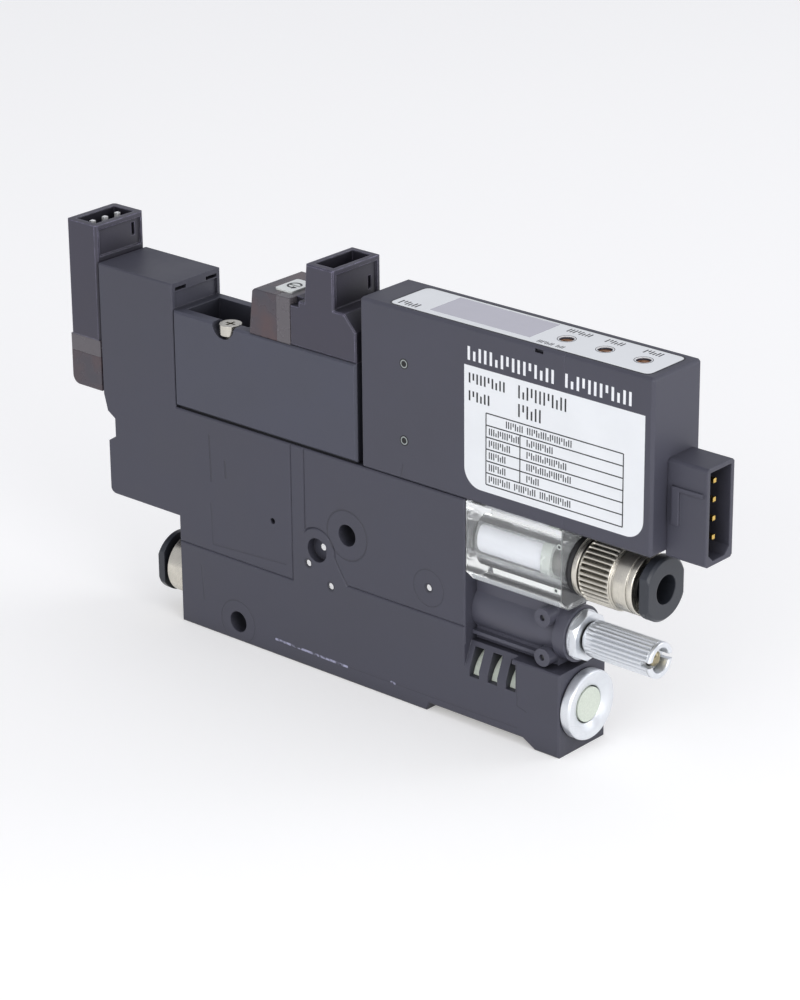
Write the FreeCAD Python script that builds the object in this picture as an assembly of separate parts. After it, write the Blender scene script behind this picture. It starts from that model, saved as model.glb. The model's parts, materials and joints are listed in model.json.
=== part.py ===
"""Slim vacuum ejector unit, 10 mm wide.

A supply valve and a release valve, each with its own solenoid, feed an ejector (nozzle, diffuser and
silencer) in a moulded body. A clear filter cover with a push-in vacuum port, a release-flow needle and
a pressure sensor sit at the front.

Millimetres. X runs along the unit from the rear solenoid (-X) to the vacuum port (+X), Y goes across
the thickness and Z up from the flat underside. The origin is the middle of the length and thickness,
at the underside.
"""
import FreeCAD, Part
import math
import os

Vector = FreeCAD.Vector

# Overall chain along X, from the rear solenoid to the sensor's plug
WIDTH = 10.0                 # thickness across the unit
SOLENOID_DEPTH = 6.0         # rear solenoid
GASKET = 0.3                 # rubber sheet between a solenoid or block and its seat
COLUMN_LENGTH = 14.8         # supply valve column
BLOCK_LENGTH = 34.8          # release valve block
BLOCK_GAP = 0.9              # open gap between the release block and the sensor
SENSOR_LENGTH = 49.6
PLUG_LENGTH = 6.3            # sensor plug in front of the sensor case

OVERALL = (SOLENOID_DEPTH + GASKET + COLUMN_LENGTH + BLOCK_LENGTH + BLOCK_GAP + SENSOR_LENGTH
           + PLUG_LENGTH)
HALF = WIDTH / 2
X_REAR = -OVERALL / 2
X_COLUMN = X_REAR + SOLENOID_DEPTH + GASKET
X_BLOCK = X_COLUMN + COLUMN_LENGTH
X_BLOCK_END = X_BLOCK + BLOCK_LENGTH
X_SENSOR = X_BLOCK_END + BLOCK_GAP
X_PLUG = X_SENSOR + SENSOR_LENGTH   # front face of the sensor

# Levels along Z
SPLIT_Z = 33.3               # top of the moulded bodies, under the release block and the sensor
EJECTOR_Z = 6.7              # axis of supply port, nozzle, diffuser and silencer
NEEDLE_Z = 16.7              # axis of the release-flow needle
PORT_Z = 27.05               # axis of the filter and the vacuum port
COLUMN_HEIGHT = 18.5         # supply valve column above the split
BLOCK_HEIGHT = 14.65         # release block above the split
SENSOR_HEIGHT = 24.55        # sensor above the split

# Fits and edges
FIT = 0.04                   # radial clearance of pieces that are pushed together
RUN = 0.06                   # radial clearance of pieces that turn or slide
EDGE = 0.2                   # broken edges of the moulded bodies, which also draw their seams
CASE_EDGE = 0.35             # rounded edges of cases and solenoids

# Moulded bodies: runs from the sensor's rear face, and drops from the split
NOSE_REACH = 34.85           # to the silencer's mouth
SHOULDER_REACH = 18.4        # to the end of the full-height bodies
VALVE_SEAM_BACK = 13.4       # back to the seam between the rear and the lower body
ARM_WIDTH = 2.5              # arm of the lower body between the two upper bodies
REAR_SEAM_DROP = 20.65       # rear body's underside
FRONT_SEAM_DROP = 18.65      # vacuum body's underside
UNDER_START = 11.4           # relief in the underside, first edge
UNDER_END = 28.5
UNDER_SLOPE = 2.15
UNDER_RISE = 1.2
COLUMN_FOOT_DROP = 16.8      # underside of the supply valve column
COLUMN_LEDGE = 0.7           # column's rear face below the solenoid
COLUMN_LEDGE_DROP = 1.4
NOTCH_DEPTH = 1.4            # grip notch in the column's rear face
NOTCH_TOP_DROP = 4.9
NOTCH_HEIGHT = 2.8
NOTCH_SLOPE = 0.9
FOOT_ROUND = 1.0
NOSE_DROP = 21.0             # top of the silencer housing

X_NOSE = X_SENSOR + NOSE_REACH
X_SHOULDER = X_SENSOR + SHOULDER_REACH
X_SEAM = X_SENSOR - VALVE_SEAM_BACK
X_ARM = X_SEAM + ARM_WIDTH
REAR_SEAM_Z = SPLIT_Z - REAR_SEAM_DROP
FRONT_SEAM_Z = SPLIT_Z - FRONT_SEAM_DROP
NOSE_Z = SPLIT_Z - NOSE_DROP
COLUMN_FOOT_Z = SPLIT_Z - COLUMN_FOOT_DROP
COLUMN_TOP_Z = SPLIT_Z + COLUMN_HEIGHT
BLOCK_TOP_Z = SPLIT_Z + BLOCK_HEIGHT
SENSOR_TOP_Z = SPLIT_Z + SENSOR_HEIGHT

# Mounting holes through the thickness, for M3 screws
MOUNT_R = 1.6
FRONT_HOLE_BACK = 2.9        # behind the sensor's rear face
FRONT_HOLE_DROP = 11.0       # under the split
REAR_HOLE_BACK = 24.3
REAR_HOLE_RISE = 3.0         # above the underside
FRONT_HOLE = (X_SENSOR - FRONT_HOLE_BACK, SPLIT_Z - FRONT_HOLE_DROP)
REAR_HOLE = (X_SENSOR - REAR_HOLE_BACK, REAR_HOLE_RISE)

# Cross pins that hold the inner pieces
PIN_R = 0.5
PIN_INSET = 0.15
DIMPLE_R = 1.8               # sunk round the first pin
DIMPLE_DEPTH = 1.4
DIMPLE_BACK = 8.6
DIMPLE_DROP = 14.8
BODY_PIN_BACK = (7.4, 10.3, 6.1)
BODY_PIN_DROP = (14.0, 17.2, 19.6)
VACUUM_PIN_AHEAD = 12.0      # in front of the sensor's rear face
VACUUM_PIN_DROP = 14.7
DIMPLE = (X_SENSOR - DIMPLE_BACK, SPLIT_Z - DIMPLE_DROP)
BODY_PINS = [(X_SENSOR - back, SPLIT_Z - drop) for back, drop in zip(BODY_PIN_BACK, BODY_PIN_DROP)]
VACUUM_PIN = (X_SENSOR + VACUUM_PIN_AHEAD, SPLIT_Z - VACUUM_PIN_DROP)
SEAM_ROUND_R = 3.3           # seam of the vacuum body round the dimple
SEAM_ROUND_END = -5.0        # degrees
SEAM_ROUND_MIDDLE = 65.0
SEAM_FOOT_BACK = 3.0         # where the level seam ends
SEAM_CORNER_BACK = 4.0       # end of its slope up to the rounding
SEAM_CORNER_RISE = 1.45
BLEED_BACK = 17.0
BLEED_DROP = 12.6
BLEED = (X_SENSOR - BLEED_BACK, SPLIT_Z - BLEED_DROP)
BLEED_R = 0.45
BLEED_DEPTH = 1.6

# Ejector line, bored from the nose
CHAMBER_R = 4.2
CHAMBER_START = 17.6         # from the sensor's rear face
DIFFUSER_R = 2.3
DIFFUSER_START = 5.2
NOZZLE_R = 1.8
NOZZLE_START = -7.0
NOZZLE_LENGTH = 9.0
NOZZLE_HOLE_R = 0.35
NOZZLE_MOUTH_R = 1.1
FEED_R = 1.1
FEED_START = -21.5
DIFFUSER_THROAT_R = 0.6
DIFFUSER_THROAT = 3.4        # from its mouth
DIFFUSER_EXIT_R = 1.2
DIFFUSER_BELL_R = 1.7
SUCTION_R = 1.2
SUCTION_AHEAD = 3.6          # suction passage in front of the sensor's rear face
SUCTION_X = X_SENSOR + SUCTION_AHEAD
PASSAGE_R = 0.8              # upright air passages
CROSSING_R = 1.0             # level air passages

# Exhaust slots over the silencer
VENT_COUNT = 3
VENT_FIRST = 20.1            # middle of the first slot from the sensor's rear face
VENT_PITCH = 3.2
VENT_WIDTH = 1.7
VENT_TOP_DROP = 21.65
VENT_FOOT_DROP = 25.7
VENT_RELIEF = 1.5            # depth of the sloping relief at its top
VENT_RELIEF_DROP = 24.6
VENT_RELIEF_LENGTH = 8.3

# Silencer
SILENCER_RING_R = 4.95
SILENCER_RING_LENGTH = 1.7
SILENCER_MOUTH_R = 2.5
SILENCER_SLEEVE = 2.0
SILENCER_WALL = 2.0
SILENCER_INSET = 0.5         # element's end behind the ring's face

# Push-in fittings for 4 mm tube
TUBE_R = 2.05
BARREL_R = 4.35
BARREL_BORE_R = 3.0
BARREL_BORE_DEPTH = 6.4
STEM_R = 3.2
STEM_HOLE_R = 1.6
FITTING_EDGE = 0.3
RELEASE_GAP = 0.9            # between the release ring and the fitting's mouth
RELEASE_TALL_R = 4.5
RELEASE_SLIM_R = 3.8
SLEEVE_R = 2.6
SLEEVE_LENGTH = 3.2          # inside the fitting
COLLET_WALL = 0.35
COLLET_LENGTH = 2.0
SEAL_LENGTH = 1.4
SUPPLY_STEM = 5.0            # inside the body
SUPPLY_BARREL = 3.7          # outside the body
SUPPLY_RING = 1.2            # thickness of the release ring
SUPPLY_HOLE_DEPTH = 7.2
VACUUM_RING = 1.5
ORING_R = 0.55               # thickness of the O-ring, as a radius
FLANGE_R = 4.3
FLANGE_LENGTH = 0.9
NECK_R = 3.9
NECK_LENGTH = 0.6
KNURL_R = 4.6
KNURL_DEPTH = 0.32
KNURL_LENGTH = 4.9
KNURL_COUNT = 24
VACUUM_SMOOTH = 3.6
VACUUM_STEM = 2.6

# Clear filter cover
COVER_PROUD = 0.1            # cover's front before the nose's
COVER_GAP = 0.15             # to the bodies and the sensor round it
COVER_DROP = 12.0
COVER_BEVEL = 1.6
COVER_BORE_R = 3.7
COVER_WALL = 1.0             # rear wall
COVER_HOLE_R = 2.2
ELEMENT_R = 3.2
ELEMENT_BORE_R = 1.7
HOLDER_LENGTH = 1.6
HOLDER_FLANGE = 0.8

# Check valve in the vacuum body
CHECK_DEPTH = 10.4
CHECK_R = 2.9
CHECK_PLATE = 1.2
CHECK_HOLE_R = 0.45
CHECK_HOLE_RING = 1.6
CHECK_HOLES = 4
CHECK_STEM_R = 0.55
CHECK_CAP_R = 2.35
CHECK_CAP = 0.5
SENSE_R = 0.6
SENSE_AHEAD = 6.4
SENSE_X = X_SENSOR + SENSE_AHEAD

# Release-flow needle
HOUSING_R = 3.5
HOUSING_SINK = 0.25          # front face behind the nose's
COLLAR_R = 3.95
COLLAR_LENGTH = 1.9
WEB_HALF = 2.4
LEDGE_HALF = 3.3
LEDGE = 0.5
BUSH_R = 2.9
BUSH_LENGTH = 10.4
BUSH_THREAD_R = 1.5
BUSH_SEAT_R = 0.7
BUSH_SEAT = 2.0
CLIP_R = 0.4
CLIP_BEND = 0.8              # radius of the wire's line in its two bends
CLIP_SPREAD = 2.9            # of each leg from the needle's axis
CLIP_BACK = 3.15             # behind the housing's front face
BOSS_R = 1.3
BOSS_REACH = 4.5
NUT_FLATS = 6.5
NUT_LENGTH = 1.1
NUT_WASHER_R = 3.5
NUT_WASHER = 0.35
NUT_GAP = 0.1
KNOB_R = 2.55
KNOB_GAP = 0.15
KNOB_LENGTH = 11.6
KNOB_RIDGES = 24
KNOB_DEPTH = 0.18
KNOB_MOUTH_R = 1.75
KNOB_MOUTH = 1.6
KNOB_SLOT = 0.8
KNOB_CHAMFER = 0.3
KNOB_RIM = 1.0               # smooth end of the knob
KNOB_NECK_R = 2.15
KNOB_NECK = 0.6
NEEDLE_HEAD_R = 1.05
NEEDLE_TIP = 2.6

# Supply valve
SPOOL_BORE_R = 2.6
SPOOL_BORE_TOP_DROP = -12.5  # above the split
SPOOL_LENGTH = 24.0
SPOOL_WAIST_R = 1.5
SPOOL_LAND = 2.4
SPOOL_LANDS = 3
END_PLUG = 3.0
END_PLUG_HEX_R = 1.1
VALVE_FEED_DROP = 11.0
VALVE_RETURN_DROP = 3.6
FEED_X = X_BLOCK + SUPPLY_HOLE_DEPTH - PASSAGE_R - 0.3
RETURN_BACK = 20.2
RETURN_X = X_SENSOR - RETURN_BACK
COLUMN_SLOT = (2.2, 0.5)     # width and height of the slots in the column's front face
COLUMN_SLOT_OUT = 3.1        # slot's middle from the centre plane
COLUMN_SLOT_DROP = 0.7
COLUMN_PANEL_DEPTH = 0.35

# Release block
BLOCK_SCREW_AHEAD = 9.9      # in front of the block's rear face
BLOCK_SCREW_X = X_BLOCK + BLOCK_SCREW_AHEAD
BLOCK_SCREW_OUT = 3.35
SCREW_HEAD_R = 1.6
SCREW_HEAD = 1.5
SCREW_SHANK_R = 0.85
SCREW_GRIP = 4.0
SCREW_WELL_R = 1.65
SCREW_NOTCH_R = 2.1          # round notch through the block's side at each well
SCREW_SINK = 0.15            # head's top under the block's top
SCREW_CROSS = (1.7, 0.4, 0.6)
POCKET_REAR = 1.3
POCKET_LENGTH = 12.0
POCKET_HALF = 3.3
POCKET_DEPTH = 4.0

# Solenoids
SOLENOID_HALF = 4.85
LAMP_LENGTH = 5.2            # smoky lamp cover
BAND_LENGTH = 2.5            # clear band between lamp cover and case
RELEASE_LENGTH = 19.8
RELEASE_HEIGHT = 6.7
RELEASE_LEAN = 0.7           # slope of the lamp cover's end
TOWER_FRONT = 4.0            # tower's front face behind the solenoid's front
TOWER_LENGTH = 5.4
TOWER_HEIGHT = 12.35         # above the block
TOWER_LEAN = 0.4
SHELF_LENGTH = 1.9
CORNER_DROP = 2.3
SOCKET_WALL = 1.0
SOCKET_HALF = 3.8
SOCKET_DEPTH = 5.5
PIN_PITCH = 2.5
CONTACT_HALF = 0.32          # half the width of the square contact pins
SUPPLY_TOP = 5.4             # rear solenoid's top above the column
SUPPLY_FOOT = 1.2            # rear solenoid's foot below the split
SUPPLY_ROUND = 1.3
SUPPLY_PIN_SINK = 0.25       # tips under the mouth
RELEASE_PIN_SINK = 3.4
PANEL_MARGIN = 0.7
PANEL_DEPTH = 0.3
LATCH_SLOT = (0.6, 1.9)
OVERRIDE_R = 1.6
OVERRIDE_PROUD = 0.25
OVERRIDE_LENGTH = 1.8
OVERRIDE_TRAVEL = 0.5
OVERRIDE_SLOT = (2.2, 0.45, 0.3)
OVERRIDE_AHEAD = 4.9         # from the lamp cover's end
BUTTON = (3.2, 4.7)          # release override, along and across the unit
BUTTON_Y = -0.75
BUTTON_ROUND = 0.4
COIL_HALF = 2.2              # half the width of the square windings
COIL_LENGTH = 6.5
PLUNGER_R = 1.25
PLUNGER_LENGTH = 6.0
PLUNGER_TRAVEL = 0.4
EDGE_NOTCH = (1.7, 1.5, 0.9)

# Pressure sensor
SENSOR_WALL = 1.0
CAP_LENGTH = 14.4            # front cap
SPIGOT = 1.5
SPIGOT_WALL = 0.7
LABEL = 0.1                  # film thickness, let in flush
LABEL_ROUND = 1.3
LABEL_REAR = 4.4             # top label's end from the sensor's rear face
LABEL_FRONT = 1.3            # both labels' ends behind the sensor's front face
TOP_LABEL_Y = (-4.4, 4.0)
SIDE_LABEL_LENGTH = 29.9
SIDE_LABEL_Z = (2.1, 19.3)
SIDE_LABEL_ROUND = 2.8
WINDOW_LENGTH = 17.0
WINDOW_BACK = 21.9           # its front end behind the sensor's front face
WINDOW_Y = (-2.9, 3.4)
WINDOW_THICK = 0.9
WINDOW_EDGE = 0.5
TRIMMER_BACK = (17.8, 11.5, 5.3)   # each trimmer behind the sensor's front face
TRIMMER_Y = -0.3
TRIMMER_R = 0.98
TRIMMER_SINK = 0.35
TRIMMER_SLOT = (1.4, 0.35, 0.45)
TRIMMER_BASE = (3.4, 3.4, 1.8)
BOARD_DROP = 6.2             # board's top under the case's top
BOARD = 1.0
BOARD_REAR = 2.6             # board's ends from the case's ends
BOARD_FRONT = 4.1
DISPLAY_MARGIN = 1.0
CELL_HALF = 2.6
CELL_HEIGHT = 3.2
SNAP = (1.4, 0.5, 0.6)
SNAP_BACK = 18.6
X_CAP = X_PLUG - CAP_LENGTH
X_SNAP = X_PLUG - SNAP_BACK
WINDOW_X = (X_PLUG - WINDOW_BACK - WINDOW_LENGTH, X_PLUG - WINDOW_BACK)
TRIMMER_X = [X_PLUG - back for back in TRIMMER_BACK]

# Sensor plug
PLUG_Y = (-1.8, 3.9)
PLUG_Z = (-0.7, 12.9)        # from the split
PLUG_WALL = 0.6
PLUG_BACK = 1.4
PLUG_CHAMFER = 1.0
PLUG_PIN = 0.6
PLUG_PINS = 4
PLUG_PIN_PITCH = 2.6
PLUG_PIN_FIRST = 2.6         # from the split
PLUG_PIN_SINK = 0.9
PLUG_PIN_TAIL = 2.0
LATCH_X = (0.9, 5.8)
LATCH_Z = (4.2, 9.5)
LATCH_PROUD = 0.35
LATCH_RAIL = 0.6


def block(x, y, z):
    """Box between three (low, high) pairs."""
    return Part.makeBox(x[1] - x[0], y[1] - y[0], z[1] - z[0], Vector(x[0], y[0], z[0]))


def rod_x(x, y, z, radius):
    """Cylinder along X between x[0] and x[1]."""
    return Part.makeCylinder(radius, x[1] - x[0], Vector(x[0], y, z), Vector(1, 0, 0))


def rod_y(x, y, z, radius):
    """Cylinder along Y between y[0] and y[1]."""
    return Part.makeCylinder(radius, y[1] - y[0], Vector(x, y[0], z), Vector(0, 1, 0))


def rod_z(x, y, z, radius):
    """Cylinder along Z between z[0] and z[1]."""
    return Part.makeCylinder(radius, z[1] - z[0], Vector(x, y, z[0]), Vector(0, 0, 1))


def face_xz(path):
    """Flat face in the XZ plane. A pair ends a straight run, a group of four an arc through its first."""
    edges = []
    last = path[-1][-2:]
    for point in path:
        start = Vector(last[0], 0, last[1])
        end = Vector(point[-2], 0, point[-1])
        if len(point) == 4:
            edges.append(Part.Arc(start, Vector(point[0], 0, point[1]), end).toShape())
        else:
            edges.append(Part.LineSegment(start, end).toShape())
        last = point[-2:]
    return Part.Face(Part.Wire(edges))


def plate(face, y):
    """Extrude an XZ face between two Y values."""
    slab = face.copy()
    slab.translate(Vector(0, y[0], 0))
    return slab.extrude(Vector(0, y[1] - y[0], 0))


def side_edges(shape, y):
    """Edges that lie wholly in the plane of one Y value."""
    return [e for e in shape.Edges if abs(e.BoundBox.YMin - y) < 1e-4 and abs(e.BoundBox.YMax - y) < 1e-4]


def moulding(face):
    """Full-width moulded body with broken edges round both side faces."""
    body = plate(face, (-HALF, HALF))
    return body.makeChamfer(EDGE, side_edges(body, -HALF) + side_edges(body, HALF))


def edges_along(shape, axis):
    """Straight edges parallel to one axis."""
    found = []
    for edge in shape.Edges:
        box = edge.BoundBox
        spans = {"x": box.XLength, "y": box.YLength, "z": box.ZLength}
        if spans.pop(axis) > 1e-3 and max(spans.values()) < 1e-6:
            found.append(edge)
    return found


def soft_block(x, y, z, radius, axis):
    """Box with the edges along one axis rounded."""
    body = block(x, y, z)
    return body.makeFillet(radius, edges_along(body, axis))


def bevelled_block(x, y, z, bevel, axes):
    """Box with the edges along the named axes bevelled."""
    body = block(x, y, z)
    return body.makeChamfer(bevel, [edge for axis in axes for edge in edges_along(body, axis)])


def turned_x(z, profile):
    """Solid of revolution about the X axis at height z, from (x, radius) pairs."""
    face = face_xz([(x, z + radius) for x, radius in profile])
    return face.revolve(Vector(0, 0, z), Vector(1, 0, 0), 360)


def turned_z(x, y, profile):
    """Solid of revolution about a vertical axis, from (radius, z) pairs."""
    face = face_xz(profile)
    solid = face.revolve(Vector(0, 0, 0), Vector(0, 0, 1), 360)
    solid.translate(Vector(x, y, 0))
    return solid


def star_x(x, z, radius, depth, count):
    """Straight-knurled cylinder along X: a star of count ridges."""
    points = []
    for step in range(2 * count):
        reach = radius if step % 2 == 0 else radius - depth
        angle = math.pi * step / count
        points.append(Vector(x[0], reach * math.cos(angle), z + reach * math.sin(angle)))
    ring = Part.makePolygon(points + [points[0]])
    return Part.Face(ring).extrude(Vector(x[1] - x[0], 0, 0))


def cut(shape, *tools):
    """Take each tool away from the shape."""
    return shape.cut(list(tools))


def fuse(shape, *others):
    """Join shapes into one and clean the faces where they met."""
    return shape.fuse(list(others)).removeSplitter()


def polar(centre, radius, degrees):
    """Point on a circle in the XZ plane."""
    angle = math.radians(degrees)
    return (centre[0] + radius * math.cos(angle), centre[1] + radius * math.sin(angle))


def vacuum_outline():
    """Outline of the vacuum body, whose seam passes round the dimple."""
    reach = X_ARM - DIMPLE[0]
    arc_start = (X_ARM, DIMPLE[1] + math.sqrt(SEAM_ROUND_R ** 2 - reach ** 2))
    return [(X_ARM, SPLIT_Z), (X_SHOULDER, SPLIT_Z), (X_SHOULDER, FRONT_SEAM_Z),
            (X_SENSOR - SEAM_FOOT_BACK, FRONT_SEAM_Z),
            (X_SENSOR - SEAM_CORNER_BACK, FRONT_SEAM_Z + SEAM_CORNER_RISE),
            polar(DIMPLE, SEAM_ROUND_R, SEAM_ROUND_END),
            polar(DIMPLE, SEAM_ROUND_R, SEAM_ROUND_MIDDLE) + arc_start]


def ejector_body():
    """Lower moulded body with the stepped ejector bore and the silencer housing."""
    outer = face_xz([(X_BLOCK, 0), (X_SENSOR + UNDER_START, 0),
                     (X_SENSOR + UNDER_START + UNDER_RISE / 2, UNDER_RISE),
                     (X_SENSOR + UNDER_END, UNDER_RISE),
                     (X_SENSOR + UNDER_END + UNDER_SLOPE, 0), (X_NOSE, 0), (X_NOSE, NOSE_Z),
                     (X_SHOULDER, NOSE_Z), (X_SHOULDER, SPLIT_Z), (X_SEAM, SPLIT_Z),
                     (X_SEAM, REAR_SEAM_Z), (X_BLOCK, REAR_SEAM_Z)])
    body = moulding(outer.cut(face_xz(vacuum_outline())).Faces[0])
    relief = [Vector(X_SHOULDER, -HALF, SPLIT_Z - VENT_RELIEF_DROP), Vector(X_SHOULDER, -HALF, NOSE_Z),
              Vector(X_SHOULDER, -HALF + VENT_RELIEF, NOSE_Z)]
    wedge = Part.Face(Part.makePolygon(relief + [relief[0]])).extrude(Vector(VENT_RELIEF_LENGTH, 0, 0))
    tools = [wedge, wedge.mirror(Vector(0, 0, 0), Vector(0, 1, 0))]
    for number in range(VENT_COUNT):
        middle = X_SENSOR + VENT_FIRST + number * VENT_PITCH
        tools.append(block((middle - VENT_WIDTH / 2, middle + VENT_WIDTH / 2), (-HALF, HALF),
                           (SPLIT_Z - VENT_FOOT_DROP, SPLIT_Z - VENT_TOP_DROP)))
    for start, end, radius in ((CHAMBER_START, NOSE_REACH, CHAMBER_R),
                               (DIFFUSER_START, CHAMBER_START, DIFFUSER_R),
                               (NOZZLE_START, DIFFUSER_START, NOZZLE_R),
                               (FEED_START, NOZZLE_START, FEED_R)):
        tools.append(rod_x((X_SENSOR + start, X_SENSOR + end), 0, EJECTOR_Z, radius))
    tools.append(rod_x((X_BLOCK, X_BLOCK + SUPPLY_STEM), 0, EJECTOR_Z, STEM_R + FIT))
    tools.append(rod_x((X_BLOCK, X_BLOCK + SUPPLY_HOLE_DEPTH), 0, EJECTOR_Z, STEM_HOLE_R))
    tools.append(rod_z(FEED_X, 0, (EJECTOR_Z, REAR_SEAM_Z), PASSAGE_R))
    tools.append(rod_z(RETURN_X, 0, (EJECTOR_Z, REAR_SEAM_Z), PASSAGE_R))
    tools.append(rod_z(SUCTION_X, 0, (EJECTOR_Z, FRONT_SEAM_Z), SUCTION_R))
    tools.append(rod_y(DIMPLE[0], (-HALF, -HALF + DIMPLE_DEPTH), DIMPLE[1], DIMPLE_R))
    tools.append(rod_y(REAR_HOLE[0], (-HALF, HALF), REAR_HOLE[1], MOUNT_R))
    for x, z in BODY_PINS:
        tools.append(rod_y(x, (-HALF, HALF), z, PIN_R + FIT))
    return cut(body, *tools)


def valve_body():
    """Upper rear moulded body: the supply valve column and the seat of the release block."""
    step_x = X_COLUMN + COLUMN_LEDGE
    notch_top = SPLIT_Z - NOTCH_TOP_DROP
    notch_foot = notch_top - NOTCH_HEIGHT
    step_z = SPLIT_Z - COLUMN_LEDGE_DROP
    corner = (step_x + FOOT_ROUND, COLUMN_FOOT_Z + FOOT_ROUND)
    body = moulding(face_xz([
        (X_COLUMN, COLUMN_TOP_Z), (X_BLOCK, COLUMN_TOP_Z), (X_BLOCK, SPLIT_Z), (X_SEAM, SPLIT_Z),
        (X_SEAM, REAR_SEAM_Z), (X_BLOCK, REAR_SEAM_Z), (X_BLOCK, COLUMN_FOOT_Z),
        (corner[0], COLUMN_FOOT_Z), polar(corner, FOOT_ROUND, 225) + (step_x, corner[1]),
        (step_x, notch_foot - NOTCH_SLOPE), (step_x + NOTCH_DEPTH, notch_foot),
        (step_x + NOTCH_DEPTH, notch_top), (step_x, notch_top + NOTCH_SLOPE),
        (X_COLUMN, step_z)]))
    spool_x = X_COLUMN + COLUMN_LENGTH / 2
    tools = [rod_z(spool_x, 0, (COLUMN_FOOT_Z, SPLIT_Z - SPOOL_BORE_TOP_DROP), SPOOL_BORE_R)]
    for drop, end in ((VALVE_FEED_DROP, FEED_X), (VALVE_RETURN_DROP, RETURN_X)):
        tools.append(rod_x((spool_x, end + 2 * PASSAGE_R), 0, SPLIT_Z - drop, CROSSING_R))
        tools.append(rod_z(end, 0, (REAR_SEAM_Z, SPLIT_Z - drop), PASSAGE_R))
    tools.append(block((X_BLOCK - COLUMN_PANEL_DEPTH, X_BLOCK), (-HALF + PANEL_MARGIN, HALF - PANEL_MARGIN),
                       (BLOCK_TOP_Z, COLUMN_TOP_Z - 2 * COLUMN_SLOT_DROP)))
    for side in (-1, 1):
        middle = side * COLUMN_SLOT_OUT
        top = COLUMN_TOP_Z - COLUMN_SLOT_DROP
        tools.append(block((X_BLOCK - 1, X_BLOCK), (middle - COLUMN_SLOT[0] / 2, middle + COLUMN_SLOT[0] / 2),
                           (top - COLUMN_SLOT[1], top)))
        tools.append(rod_z(BLOCK_SCREW_X, side * BLOCK_SCREW_OUT, (SPLIT_Z - SCREW_GRIP, SPLIT_Z),
                           SCREW_SHANK_R + FIT))
    tools.append(rod_y(BLEED[0], (-HALF, -HALF + BLEED_DEPTH), BLEED[1], BLEED_R))
    return cut(body, *tools)


def vacuum_body():
    """Upper front moulded body with the check valve's perforated seat and its chamber."""
    body = moulding(face_xz(vacuum_outline()))
    plate_x = X_SHOULDER - CHECK_DEPTH
    seat = plate_x + CHECK_PLATE
    tools = [
        rod_x((seat, X_SHOULDER), 0, PORT_Z, CHECK_R),
        rod_x((SUCTION_X - SUCTION_R, plate_x), 0, PORT_Z, CHECK_CAP_R),
        rod_x((plate_x, seat), 0, PORT_Z, CHECK_STEM_R + FIT),
        rod_z(SUCTION_X, 0, (FRONT_SEAM_Z, PORT_Z), SUCTION_R),
        rod_z(SENSE_X, 0, (PORT_Z, SPLIT_Z), SENSE_R),
        rod_y(FRONT_HOLE[0], (-HALF, HALF), FRONT_HOLE[1], MOUNT_R),
        rod_y(VACUUM_PIN[0], (-HALF, HALF), VACUUM_PIN[1], PIN_R + FIT),
    ]
    for number in range(CHECK_HOLES):
        angle = 2 * math.pi * number / CHECK_HOLES
        tools.append(rod_x((plate_x, seat), CHECK_HOLE_RING * math.cos(angle),
                           PORT_Z + CHECK_HOLE_RING * math.sin(angle), CHECK_HOLE_R))
    return cut(body, *tools)


def cross_pins():
    """Steel pins through the bodies, their ends just under the side faces."""
    ends = (-HALF + PIN_INSET, HALF - PIN_INSET)
    return Part.makeCompound([rod_y(x, ends, z, PIN_R) for x, z in BODY_PINS + [VACUUM_PIN]])


def nozzle():
    """Brass nozzle with a converging bore and a tapered tip."""
    rear = X_SENSOR + NOZZLE_START
    tip = rear + NOZZLE_LENGTH
    land = NOZZLE_LENGTH / 3
    return turned_x(EJECTOR_Z, [
        (rear, NOZZLE_MOUTH_R), (rear, NOZZLE_R - FIT), (tip - land, NOZZLE_R - FIT),
        (tip, NOZZLE_MOUTH_R), (tip, NOZZLE_HOLE_R)])


def diffuser():
    """Diffuser with a bell mouth that narrows to a throat and a long widening bore."""
    start = X_SENSOR + DIFFUSER_START
    end = X_SENSOR + CHAMBER_START
    return turned_x(EJECTOR_Z, [
        (start, DIFFUSER_BELL_R), (start, DIFFUSER_R - FIT), (end, DIFFUSER_R - FIT),
        (end, DIFFUSER_EXIT_R), (start + DIFFUSER_THROAT, DIFFUSER_THROAT_R)])


def silencer_ring():
    """Aluminium ring pressed into the silencer housing's mouth."""
    front = X_NOSE + SILENCER_RING_LENGTH
    sleeve_end = X_NOSE - SILENCER_SLEEVE
    edge = SILENCER_RING_LENGTH / 4
    dish = (SILENCER_RING_R - SILENCER_MOUTH_R) / 3
    return turned_x(EJECTOR_Z, [
        (sleeve_end, CHAMBER_R - FIT), (X_NOSE, CHAMBER_R - FIT), (X_NOSE, SILENCER_RING_R),
        (front - edge, SILENCER_RING_R), (front, SILENCER_RING_R - edge),
        (front, SILENCER_MOUTH_R + dish), (front - edge, SILENCER_MOUTH_R), (sleeve_end, SILENCER_MOUTH_R)])


def silencer_element():
    """Porous silencer, a closed-ended tube that shows in the slots and in the ring."""
    start = X_SENSOR + CHAMBER_START
    shoulder = X_NOSE - SILENCER_SLEEVE
    front = X_NOSE + SILENCER_RING_LENGTH - SILENCER_INSET
    outer = CHAMBER_R - FIT
    inner = outer - SILENCER_WALL
    return turned_x(EJECTOR_Z, [
        (start, inner), (start, outer), (shoulder, outer), (shoulder, SILENCER_MOUTH_R - FIT),
        (front, SILENCER_MOUTH_R - FIT), (front, 0), (shoulder, 0), (shoulder - SILENCER_WALL, inner)])


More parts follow.
